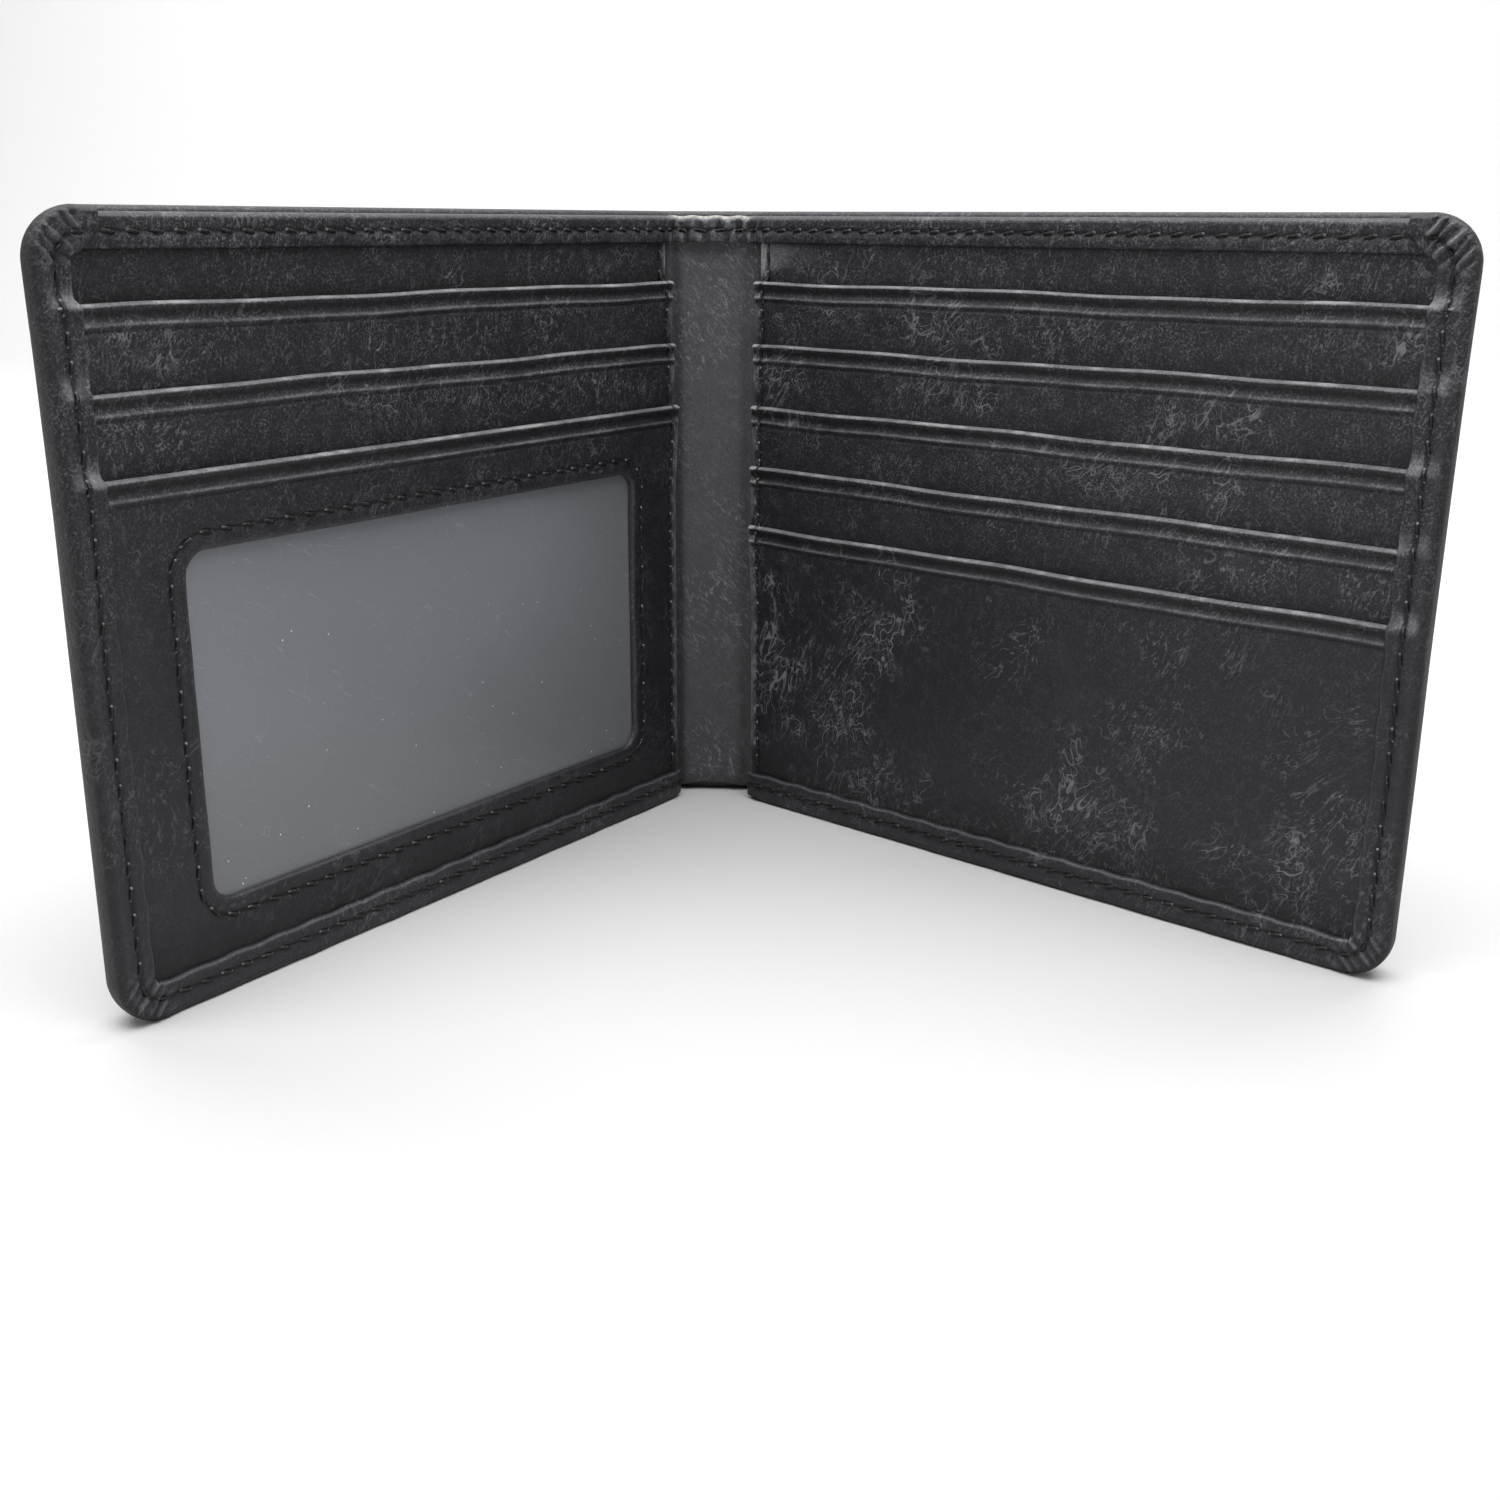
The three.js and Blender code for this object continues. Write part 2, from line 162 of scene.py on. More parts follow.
@dataclass(frozen=True)
class Ripple:
    """A soft unevenness: the sum of plane sine waves of unlike lengths and directions."""

    seed: int
    height: float
    length: float
    waves: int = 9

    def __call__(self, u: Array, v: Array) -> Array:
        """Works out the unevenness.

        Args:
            u: places along a wing.
            v: places up a wing.

        Returns:
            The height at each place, in millimetres.
        """
        draw = np.random.default_rng(self.seed)
        turn = draw.uniform(0.0, TURN, self.waves)
        phase = draw.uniform(0.0, TURN, self.waves)
        rate = TURN / (self.length * draw.uniform(0.7, 1.8, self.waves))
        angle = (
            np.multiply.outer(np.asarray(u), rate * np.cos(turn))
            + np.multiply.outer(np.asarray(v), rate * np.sin(turn))
            + phase
        )
        return self.height * np.sin(angle).sum(axis=-1) / math.sqrt(self.waves)


@dataclass(frozen=True)
class Fold:
    """Where a wing stands: its fold line, and how far it is turned in from flat."""

    name: str
    side: int
    hinge: tuple[float, float]
    angle: float
    depth: float = 0.0

    @property
    def body(self) -> str:
        """The name of the wing's body."""
        return f"{self.name}_wing"

    def place(self, u: Array, v: Array, n: Array, turned: Array | float = 1.0) -> Array:
        """Turns places in a wing into points: the fold line + u along the wing + (n + depth) across it.

        Args:
            u: places outwards from the fold line.
            v: places up.
            n: places through the stack.
            turned: the share of the wing's angle that each place is turned by.

        Returns:
            The points in metres, with a last axis of 3.
        """
        u, v, n, turned = np.broadcast_arrays(u, v, n, turned)
        angle = turned * self.angle
        across = n + self.depth
        x = self.hinge[0] + self.side * (u * np.cos(angle) - across * np.sin(angle))
        y = self.hinge[1] - u * np.sin(angle) - across * np.cos(angle)
        return np.stack([x, y, v], axis=-1) * MM

    def bend(self, u: Array, v: Array, n: Array, reach: float) -> Array:
        """Bends a layer that was laid out flat: it turns smoothly between u = -reach and u = reach.

        Args:
            u: places outwards from the fold line, below 0 on the spine.
            v: places up.
            n: places through the stack.
            reach: how far the bend runs on either side of the fold line.

        Returns:
            The points in metres.
        """
        return self.place(u, v, n, smooth((np.asarray(u) + reach) / (2.0 * reach)))

    def extent(self, node: bpy.types.Object) -> tuple[Array, Array]:
        """Measures a node of this wing.

        Args:
            node: the node's object.

        Returns:
            Its lowest and its highest u, v and n.
        """
        points = np.empty(len(node.data.vertices) * 3, np.float32)
        node.data.vertices.foreach_get("co", points)
        points = points.reshape(-1, 3).astype(float) / MM
        across = points[:, :2] - np.array(self.hinge)
        along = np.array([self.side * math.cos(self.angle), -math.sin(self.angle)])
        inward = np.array([-self.side * math.sin(self.angle), -math.cos(self.angle)])
        local = np.stack(
            [across @ along, points[:, 2], across @ inward - self.depth], axis=-1
        )
        return local.min(axis=0), local.max(axis=0)


# ---------------------------------------------------------------- meshes


@dataclass
class Mesher:
    """Gathers grids of points into one mesh, whose shared edges are welded."""

    name: str
    points: list[Array] = field(default_factory=list)
    quads: list[Array] = field(default_factory=list)
    wear_and_painted_light: list[Array] = field(default_factory=list)
    count: int = 0

    def grid(self, points: Array, wear_and_painted_light: Array | float = 0.0, turned: bool = False) -> None:
        """Adds a grid of faces, whose front is where (along a row) x (from row to row) points.

        Args:
            points: rows of points in metres.
            wear_and_painted_light: how far each point is rubbed, up to 1, with painted highlights and
                glints added; below 0 it is painted shade instead.
            turned: turns the front to the other side.
        """
        index = self.add(points, wear_and_painted_light)
        corners = [index[:-1, :-1], index[:-1, 1:], index[1:, 1:], index[1:, :-1]]
        self.face(corners, turned)

    def tubes(self, points: Array, wear_and_painted_light: Array, turned: bool) -> None:
        """Adds many tubes at once, each closed round its girth.

        Args:
            points: an array of tubes x rings x girth points, in metres.
            wear_and_painted_light: how much painted glint each point has.
            turned: turns the front to the other side.
        """
        index = self.add(points, wear_and_painted_light)
        ahead = np.roll(index, -1, axis=2)
        corners = [index[:, :-1], ahead[:, :-1], ahead[:, 1:], index[:, 1:]]
        self.face(corners, turned)

    def add(self, points: Array, wear_and_painted_light: Array | float) -> Array:
        """Adds points without faces.

        Args:
            points: an array of points in metres, with a last axis of 3.
            wear_and_painted_light: how far each point is rubbed, with painted light and shade added.

        Returns:
            The number of each point in the mesh, in the shape of the array.
        """
        shape = points.shape[:-1]
        index = np.arange(math.prod(shape)).reshape(shape) + self.count
        self.points.append(points.reshape(-1, 3))
        self.wear_and_painted_light.append(np.broadcast_to(wear_and_painted_light, shape).reshape(-1).astype(float))
        self.count += index.size
        return index

    def face(self, corners: list[Array], turned: bool) -> None:
        """Adds four-sided faces from the numbers of their corners, in order or turned over."""
        ordered = corners[::-1] if turned else corners
        self.quads.append(np.stack(ordered, axis=-1).reshape(-1, 4))

    def build(self, material: bpy.types.Material, thickness: float = 0.0) -> bpy.types.Object:
        """Makes the object, with its place in its mesh.

        Args:
            material: the piece's finish.
            thickness: the wall to give it behind its front, in millimetres.

        Returns:
            The new object.
        """
        mesh = bpy.data.meshes.new(self.name)
        quads = np.concatenate(self.quads)
        mesh.from_pydata(np.concatenate(self.points).tolist(), [], quads.tolist())
        # The attribute holds rubbing and painted highlights above 0, and painted shade below 0.
        worn_and_lit = mesh.attributes.new("wear_and_painted_light", "FLOAT", "POINT")
        worn_and_lit.data.foreach_set("value", np.concatenate(self.wear_and_painted_light).astype(np.float32))
        shaped = bmesh.new()
        shaped.from_mesh(mesh)
        bmesh.ops.remove_doubles(shaped, verts=shaped.verts, dist=WELD)
        bmesh.ops.dissolve_degenerate(shaped, edges=shaped.edges, dist=WELD / 10.0)
        shaped.to_mesh(mesh)
        shaped.free()
        mesh.polygons.foreach_set("use_smooth", np.ones(len(mesh.polygons), bool))
        # Open edges are sharp, so that the wall added behind them doesn't change the front's shading.
        edges = np.empty(len(mesh.loops), np.int32)
        mesh.loops.foreach_get("edge_index", edges)
        open_edge = np.bincount(edges, minlength=len(mesh.edges)) == 1
        mesh.edges.foreach_set("use_edge_sharp", open_edge)
        mesh.materials.append(material)
        made = bpy.data.objects.new(self.name, mesh)
        bpy.context.scene.collection.objects.link(made)
        if thickness > 0.0:
            wall = made.modifiers.new("wall", "SOLIDIFY")
            wall.thickness = thickness * MM
            wall.offset = -1.0
        log.info("%s: %d faces", self.name, len(mesh.polygons))
        return made


# ---------------------------------------------------------------- finishes


class Cells(Enum):
    """What a cell pattern tells: how far the nearest centre is, or how far the nearest wall is."""

    CENTRE = "F1"
    WALL = "DISTANCE_TO_EDGE"


@dataclass(frozen=True)
class Sock:
    """A socket that can be used in sums."""

    shop: "NodeShop"
    socket: bpy.types.NodeSocket

    def _math(self, operation: str, first: Any, second: Any = None) -> "Sock":
        """Adds the Math node for one operation."""
        values = {0: first} if second is None else {0: first, 1: second}
        return self.shop.node("ShaderNodeMath", {"operation": operation}, values)

    def __add__(self, other: Any) -> "Sock":
        """The sum."""
        return self._math("ADD", self, other)

    def __radd__(self, other: Any) -> "Sock":
        """The sum, with this socket second."""
        return self._math("ADD", other, self)

    def __sub__(self, other: Any) -> "Sock":
        """The difference."""
        return self._math("SUBTRACT", self, other)

    def __rsub__(self, other: Any) -> "Sock":
        """The difference, with this socket second."""
        return self._math("SUBTRACT", other, self)

    def __mul__(self, other: Any) -> "Sock":
        """The product."""
        return self._math("MULTIPLY", self, other)

    def __rmul__(self, other: Any) -> "Sock":
        """The product, with this socket second."""
        return self._math("MULTIPLY", other, self)

    def __abs__(self) -> "Sock":
        """The size without its sign."""
        return self._math("ABSOLUTE", self)

    def most(self, other: Any) -> "Sock":
        """The larger of two values."""
        return self._math("MAXIMUM", self, other)

    def least(self, other: Any) -> "Sock":
        """The smaller of two values."""
        return self._math("MINIMUM", self, other)

    def sine(self) -> "Sock":
        """The sine of an angle in radians."""
        return self._math("SINE", self)

    def step(self, low: float, high: float) -> "Sock":
        """Takes a smooth step.

        Args:
            low: the value that gives 0; it may be the larger of the two.
            high: the value that gives 1.

        Returns:
            The step's height.
        """
        if low > high:
            return 1.0 - self.step(high, low)
        settings = {"interpolation_type": "SMOOTHSTEP", "clamp": True}
        values = {"Value": self, "From Min": low, "From Max": high}
        return self.shop.node("ShaderNodeMapRange", settings, values)


class NodeShop:
    """Makes a material's nodes."""

    def __init__(self, name: str) -> None:
        """Starts a material with a Principled shader.

        Args:
            name: the material's name.
        """
        self.material = bpy.data.materials.new(name)
        self.material.use_nodes = True
        self.tree = self.material.node_tree
        self.shader = next(n for n in self.tree.nodes if n.type == "BSDF_PRINCIPLED")

    def node(
        self, kind: str, settings: dict[str, Any], values: dict[Any, Any], out: Any = 0
    ) -> Sock:
        """Adds a node.

        Args:
            kind: the node's type.
            settings: its settings, set first.
            values: the value or the link of each socket, by name or place.
            out: the name or place of the socket that is handed back.

        Returns:
            That socket.
        """
        made = self.tree.nodes.new(kind)
        for key, value in settings.items():
            setattr(made, key, value)
        for key, value in values.items():
            self.feed(made.inputs[key], value)
        return Sock(self, made.outputs[out])

    def feed(self, socket: bpy.types.NodeSocket, value: Any) -> None:
        """Links a socket, or sets its value.

        Args:
            socket: the input.
            value: a Sock to link, or a plain value.
        """
        if isinstance(value, Sock):
            self.tree.links.new(value.socket, socket)
        else:
            socket.default_value = value

    def finish(self, **values: Any) -> bpy.types.Material:
        """Sets the shader's sockets, each named with _ for a space.

        Args:
            values: the value or the link of each socket.

        Returns:
            The finished material.
        """
        for key, value in values.items():
            self.feed(self.shader.inputs[key.replace("_", " ")], value)
        return self.material

    def millimetres(self, tilt: float = 0.0, stretch: Sequence[float] = (1, 1, 1)) -> Sock:
        """The place on the piece in millimetres, tilted sideways and then stretched.

        Args:
            tilt: the angle in radians.
            stretch: the scale along each axis after the tilt.

        Returns:
            The place as a vector.
        """
        place = self.node("ShaderNodeTexCoord", {}, {}, "Object")
        values = {
            "Vector": place,
            "Rotation": (0.0, tilt, 0.0),
            "Scale": tuple(MM / s for s in stretch),
        }
        return self.node("ShaderNodeMapping", {"vector_type": "TEXTURE"}, values)

    def axis(self, place: Sock, name: str) -> Sock:
        """One coordinate of a place: X, Y or Z."""
        return self.node("ShaderNodeSeparateXYZ", {}, {"Vector": place}, name)

    def noise(self, place: Sock, size: float, detail: float = 4.0, rough: float = 0.55) -> Sock:
        """A cloudy value from about 0.2 to 0.8, with features of a size in millimetres."""
        values = {"Vector": place, "Scale": 1.0 / size, "Detail": detail, "Roughness": rough}
        return self.node("ShaderNodeTexNoise", {}, values, "Fac")

    def warp(self, place: Sock, size: float, amount: float) -> Sock:
        """Pushes a place about by a cloud.

        Args:
            place: the place in millimetres.
            size: the size of the cloud's features.
            amount: how far a full push goes.

        Returns:
            The pushed place.
        """
        values = {"Vector": place, "Scale": 1.0 / size, "Detail": 2.0}
        cloud = self.node("ShaderNodeTexNoise", {}, values, "Color")
        pushed = {0: cloud, 1: (amount,) * 3, 2: place}
        return self.node("ShaderNodeVectorMath", {"operation": "MULTIPLY_ADD"}, pushed)

    def cells(self, place: Sock, size: float, tells: Cells = Cells.CENTRE) -> Sock:
        """The distance in a cell pattern with cells of a size in millimetres."""
        values = {"Vector": place, "Scale": 1.0 / size}
        return self.node("ShaderNodeTexVoronoi", {"feature": tells.value}, values, "Distance")

    def worn_and_lit(self) -> Sock:
        """The mesh's attribute: rubbing with painted highlights and glints above 0, painted shade below
        0.
        """
        settings = {"attribute_name": "wear_and_painted_light", "attribute_type": "GEOMETRY"}
        return self.node("ShaderNodeAttribute", settings, {}, "Fac")

    def colours(self, share: Sock, first: Sock | Colour, second: Sock | Colour) -> Sock:
        """Mixes two colours.

        Args:
            share: how much of the second.
            first: the first colour.
            second: the second colour.

        Returns:
            The mixed colour.
        """
        values: dict[int, Any] = {0: share}
        for place, colour in ((6, first), (7, second)):
            values[place] = colour if isinstance(colour, Sock) else (*colour, 1.0)
        return self.node("ShaderNodeMix", {"data_type": "RGBA"}, values, 2)

    def relief(self, height: Sock, depth: float, after: Sock | None = None) -> Sock:
        """A Bump node.

        Args:
            height: the height, from 0 to 1.
            depth: what a height of 1 is, in millimetres.
            after: a relief under this one.

        Returns:
            The normal.
        """
        values: dict[str, Any] = {"Height": height, "Distance": depth * MM, "Strength": 1.0}
        if after is not None:
            values["Normal"] = after
        return self.node("ShaderNodeBump", {}, values)


@dataclass(frozen=True)
class Leather:
    """Waxed leather: fine grain, creases that pull up pale, rubbed edges with painted highlights, and
    painted shade in grooves, recesses and under edges.

    Crease, haze, fleck, wrinkle and streak say how strongly each of these shows. Sizes are in
    millimetres, and grain is the depth of the relief.
    """

    name: str
    colour: Colour = (0.0096, 0.0090, 0.0118)
    pale: Colour = (0.170, 0.168, 0.182)
    # The colour of leather rubbed through, also used for the strongest painted highlights and glints.
    bare_and_highlight: Colour = (0.300, 0.296, 0.290)
    crease: float = 0.80
    haze: float = 0.05
    shine: float = 0.38
    grain: float = 0.11
    fleck: float = 0.46
    wrinkle: float = 0.55
    wrinkle_size: float = 0.85
    tilt: float = 0.6
    smooth_below: float = 34.0
    streak: float = 0.0

    def make(self) -> bpy.types.Material:
        """Builds the material.

        Returns:
            The material.
        """
        shop = NodeShop(self.name)
        place = shop.millimetres()
        bent = shop.warp(place, 6.0, 3.2)
        worn_and_lit = shop.worn_and_lit()
        # Above 0 the attribute is rubbing with painted highlights and glints added; below 0 it is
        # painted shade.
        wear_and_painted_light = worn_and_lit.most(0.0)
        painted_shade = (0.0 - worn_and_lit).most(0.0)
        lines = self.creases(shop, place, bent)
        arcs = self.wrinkles(shop, place)
        strand = shop.millimetres(0.6, (0.35, 0.35, 1.0))
        streaks = shop.noise(shop.warp(strand, 4.0, 2.0), 1.1, 5.0, 0.7).step(0.52, 0.74)
        soft = shop.noise(bent, 11.0, 5.0, 0.62)
        pores = shop.cells(shop.warp(place, 0.8, 0.5), 0.50)
        fine = shop.noise(place, 0.30, 3.0, 0.7)
        rubbed = 0.25 + 0.75 * shop.axis(place, "Z").step(self.smooth_below, self.smooth_below + 28.0)
        clouds = 0.35 + 0.65 * shop.noise(bent, 2.4, 4.0, 0.65).step(0.40, 0.62)
        flecks = fine.step(0.49, 0.64) * clouds * rubbed
        pale = (
            lines * self.crease
            + arcs * self.wrinkle
            + flecks * self.fleck
            + soft.step(0.5, 0.8) * self.haze
            + streaks * (self.streak + 0.04)
            + wear_and_painted_light * (0.10 + 1.5 * fine)
        ).least(1.0)
        # Painted shade: the colour darkened to a third, and the pale marks dimmed, where the attribute
        # is below 0.
        dark = tuple(0.35 * c for c in self.colour)
        tint = shop.colours(painted_shade.least(1.0), self.colour, dark)
        tint = shop.colours(pale * (1.0 - 0.8 * painted_shade.least(1.0)), tint, self.pale)
        # Strong rubbing, and the strongest painted highlights and glints, take the colour of leather
        # rubbed through.
        tint = shop.colours(wear_and_painted_light.step(0.80, 1.1) * fine.step(0.30, 0.55), tint, self.bare_and_highlight)
        height = pores * 0.45 + fine * 0.35 + arcs * 0.25 + streaks * 0.3 - lines * 0.45
        return shop.finish(
            Base_Color=tint,
            Roughness=(self.shine + 0.16 * soft + 0.12 * fine + 0.12 * pale + 0.3 * painted_shade).least(0.9),
            Normal=shop.relief(soft, 0.22, shop.relief(height, self.grain)),
            Coat_Weight=0.06,
            Coat_Roughness=0.25,
            Specular_IOR_Level=0.34,
        )

    def creases(self, shop: NodeShop, place: Sock, bent: Sock) -> Sock:
        """Draws thin lines where a cloud passes its middle value, at two sizes, kept to patches.

        Args:
            shop: the material's shop.
            place: the place in millimetres.
            bent: the place, pushed about a little.

        Returns:
            1 on a line and 0 off it.
        """
        patches = shop.noise(place, 24.0, 4.0, 0.65).step(0.50, 0.62)
        torn = shop.warp(shop.millimetres(0.7, (1.0, 1.0, 0.45)), 9.0, 9.0)
        vein = abs(shop.noise(torn, 4.2, 2.0, 0.5) - 0.5).step(0.014, 0.002)
        branch = abs(shop.noise(torn, 1.9, 2.0, 0.5) - 0.5).step(0.022, 0.004)
        mesh = shop.cells(bent, 1.8, Cells.WALL).step(0.030, 0.004)
        fade = shop.noise(place, 5.0, 3.0, 0.6).step(0.34, 0.54)
        return vein.most(branch * 0.9).most(mesh * 0.35) * patches * fade

    def wrinkles(self, shop: NodeShop, place: Sock) -> Sock:
        """Draws short arcs side by side, from a cloud drawn out along one way and swirled.

        Args:
            shop: the material's shop.
            place: the place in millimetres.

        Returns:
            1 on an arc and 0 off it.
        """
        swirled = shop.warp(shop.millimetres(self.tilt, (1.0, 1.0, 0.20)), 18.0, 18.0)
        arc = abs(shop.noise(swirled, self.wrinkle_size, 2.0, 0.5) - 0.5).step(0.045, 0.0)
        where = shop.noise(place, 15.0, 3.0, 0.6).step(0.46, 0.62)
        broken = shop.noise(place, 1.2, 3.0, 0.6).step(0.40, 0.58)
        return arc * (0.15 + 0.85 * where) * broken


@dataclass(frozen=True)
class Cloth:
    """Black lining cloth in a plain weave."""

    name: str
    colour: Colour = (0.012, 0.012, 0.014)
    pitch: float = 0.32

    def make(self) -> bpy.types.Material:
        """Builds the material.

        Returns:
            The material.
        """
        shop = NodeShop(self.name)
        place = shop.millimetres()
        rate = TURN / self.pitch
        up = (shop.axis(place, "Z") * rate).sine()
        across = (shop.axis(place, "X") * rate).sine()
        weave = up * across * 0.5 + 0.5
        cloud = shop.noise(place, 7.0)
        pale = tuple(2.4 * c for c in self.colour)
        return shop.finish(
            Base_Color=shop.colours(weave * cloud, self.colour, pale),
            Roughness=0.75 + 0.15 * cloud,
            Normal=shop.relief(weave, 0.05),
            Sheen_Weight=0.2,
        )


@dataclass(frozen=True)
class Board:
    """Grey stiffening board with short fibres."""

    name: str
    colour: Colour = (0.24, 0.22, 0.18)

    def make(self) -> bpy.types.Material:
        """Builds the material.

        Returns:
            The material.
        """
        shop = NodeShop(self.name)
        fibre = shop.noise(shop.millimetres(0.4, (1.0, 1.0, 0.2)), 0.5, 6.0, 0.7)
        dark = tuple(0.55 * c for c in self.colour)
        return shop.finish(
            Base_Color=shop.colours(fibre, dark, self.colour),
            Roughness=0.8 + 0.15 * fibre,
            Normal=shop.relief(fibre, 0.04),
        )


@dataclass(frozen=True)
class Film:
    """Milky window film with dust, fine scratches and a soft sheen.

    Its colour goes from low to high between the heights bottom and top, and sideways between the
    places spine_side and middle: painted light, lighter towards the top and away from the spine.
    """

    name: str
    low: Colour = (0.122, 0.127, 0.134)
    high: Colour = (0.168, 0.178, 0.196)
    dust: Colour = (0.7, 0.7, 0.72)
    bottom: float = 5.0
    top: float = 45.0
    spine_side: float = -12.0
    middle: float = -42.0

    def make(self) -> bpy.types.Material:
        """Builds the material.

        Returns:
            The material.
        """
        shop = NodeShop(self.name)
        place = shop.millimetres()
        cloud = shop.noise(place, 30.0, 2.0)
        # Painted light: the film lighter towards the top and away from the spine.
        rise = (shop.axis(place, "Z") + 16.0 * cloud - 8.0).step(self.bottom, self.top)
        rise = rise * shop.axis(place, "X").step(self.spine_side, self.middle)
        tint = shop.colours(rise, self.low, self.high)
        specks = shop.cells(place, 2.1).step(0.075, 0.035)
        few = shop.noise(place, 5.0, 1.0).step(0.46, 0.58)
        scratch = abs(shop.noise(shop.millimetres(0.9, (0.3, 0.3, 1.3)), 3.5, 2.0) - 0.5)
        marks = (specks * few).most(scratch.step(0.003, 0.0) * 0.12)
        haze = shop.noise(place, 0.25, 2.0)
        return shop.finish(
            Base_Color=shop.colours(marks, tint, self.dust),
            Roughness=0.34 + 0.10 * cloud + 0.2 * marks,
            Normal=shop.relief(haze, 0.006),
            Coat_Weight=0.35,
            Coat_Roughness=0.22,
            Specular_IOR_Level=0.45,
        )


@dataclass(frozen=True)
class Thread:
    """Twisted black thread with a waxy shine, grey in dusty flecks, and with a painted glint near both
    ends of each stitch, at its holes.
    """

    name: str
    colour: Colour = (0.006, 0.006, 0.007)
    # The grey of the dust flecks and of the painted glints at the holes.
    glint: Colour = (0.32, 0.32, 0.33)
    twist: float = 0.22

    def make(self) -> bpy.types.Material:
        """Builds the material.

        Returns:
            The material.
        """
        shop = NodeShop(self.name)
        place = shop.millimetres(0.7)
        strand = (shop.axis(place, "X") * (TURN / self.twist)).sine() * 0.5 + 0.5
        dust = shop.noise(place, 0.5)
        # Dust flecks, and the painted glints that the stitches' ends carry in the attribute.
        dust_and_glint = (dust.step(0.60, 0.8) * 0.4 + shop.worn_and_lit()).least(1.0)
        return shop.finish(
            Base_Color=shop.colours(dust_and_glint, self.colour, self.glint),
            Roughness=0.34 + 0.2 * dust,
            Normal=shop.relief(strand, 0.03),
            Specular_IOR_Level=0.36,
        )


@dataclass(frozen=True)
class Finishes:
    """The materials of the wallet, each made once."""

    cover: bpy.types.Material
    inner: bpy.types.Material
    window: bpy.types.Material
    spine: bpy.types.Material
    band: bpy.types.Material
    cloth: bpy.types.Material
    board: bpy.types.Material
    film: bpy.types.Material
    thread: bpy.types.Material

    @classmethod
    def make(cls) -> "Finishes":
        """Makes every material.

        Returns:
            The materials.
        """
        return cls(
            cover=Leather("cover_leather_finish", crease=0.32, wrinkle=0.42).make(),
            inner=Leather("inner_leather_finish").make(),
            window=Leather("window_leather_finish", crease=0.22, wrinkle=0.30, fleck=0.30).make(),
            spine=Leather(
                "spine_leather_finish",
                colour=(0.050, 0.049, 0.053),
                crease=0.30,
                haze=0.12,
                streak=0.12,
                wrinkle=1.0,
                wrinkle_size=0.70,
                tilt=-0.6,
                fleck=0.30,
            ).make(),
            band=Leather(
                "band_leather_finish", bare_and_highlight=(0.34, 0.32, 0.27), crease=0.45, streak=0.10
            ).make(),
            cloth=Cloth("lining_cloth_finish").make(),
            board=Board("stiffening_board_finish").make(),
            film=Film("window_film_finish").make(),
            thread=Thread("black_thread_finish").make(),
        )


# ---------------------------------------------------------------- seams


@dataclass(frozen=True)
class Seam:
    """A row of stitches along a line in a wing, each a short slack length between two holes."""

    pitch: float = 3.2
    stitch: float = 2.3
    radius: float = 0.24
    slant: float = 0.20
    rise: float = 0.19
    dive: float = 0.50
    flat: float = 0.85
    uneven: float = 0.05
    rings: int = 9
    girth: int = 6
    seed: int = 3

    def build(
        self,
        name: str,
        line: Array,
        level: Level,
        placed: Callable[[Array, Array, Array], Array],
        side: int,
        material: bpy.types.Material,
    ) -> bpy.types.Object:
        """Makes the stitches: a flattened girth carried along each stitch, whose ends dive.

        With t from -1 to 1 along a stitch, its radius is radius (1 - t^2)^0.3 and its height above
        the leather is rise - dive |t|^3.

        Args:
            name: the piece's name.
            line: the seam's line as rows of u and v.
            level: the leather's level n at u and v.
            placed: turns u, v and n into points.
            side: the wing's side.
            material: the thread's finish.

        Returns:
            The piece.
        """
        draw = np.random.default_rng(self.seed)
        hops = np.hypot(*np.diff(line, axis=0).T)
        length = np.concatenate([[0.0], np.cumsum(hops)])
        count = max(2, round(length[-1] / self.pitch))
        middle = (np.arange(count) + 0.5) * length[-1] / count
        middle = middle + draw.normal(0.0, self.uneven, count)
        t = np.linspace(-1.0, 1.0, self.rings)
        lean = self.slant + draw.normal(0.0, self.uneven, count)
        along = middle[:, None] + 0.5 * self.stitch * t
        u = np.interp(along, length, line[:, 0])
        v = np.interp(along, length, line[:, 1])
        ahead_u = np.gradient(u, axis=1)
        ahead_v = np.gradient(v, axis=1)
        size = np.hypot(ahead_u, ahead_v) + 1e-9
        side_u = -ahead_v / size
        side_v = ahead_u / size
        sway = 0.5 * self.stitch * np.sin(lean)[:, None] * t
        turn = np.linspace(0.0, TURN, self.girth, endpoint=False)
        thick = self.radius * np.sqrt(np.maximum(1.0 - t**2, 0.0)) ** 0.6
        ring = thick[None, :, None]
        out = sway[:, :, None] + ring * np.cos(turn)
        lift = self.rise - self.dive * np.abs(t) ** 3.0
        uu = u[:, :, None] + side_u[:, :, None] * out
        vv = v[:, :, None] + side_v[:, :, None] * out
        foot = level(u, v) + lift
        nn = foot[:, :, None] + self.flat * ring * np.sin(turn)
        # A painted glint near both ends of each stitch, where it enters its hole.
        glint = draw.uniform(0.0, 0.9, (count, 1)) * smooth((np.abs(t) - 0.62) / 0.2)
        mesher = Mesher(name)
        mesher.tubes(placed(uu, vv, nn), glint[:, :, None], turned=side < 0)
        return mesher.build(material)


# ---------------------------------------------------------------- the stack of pockets


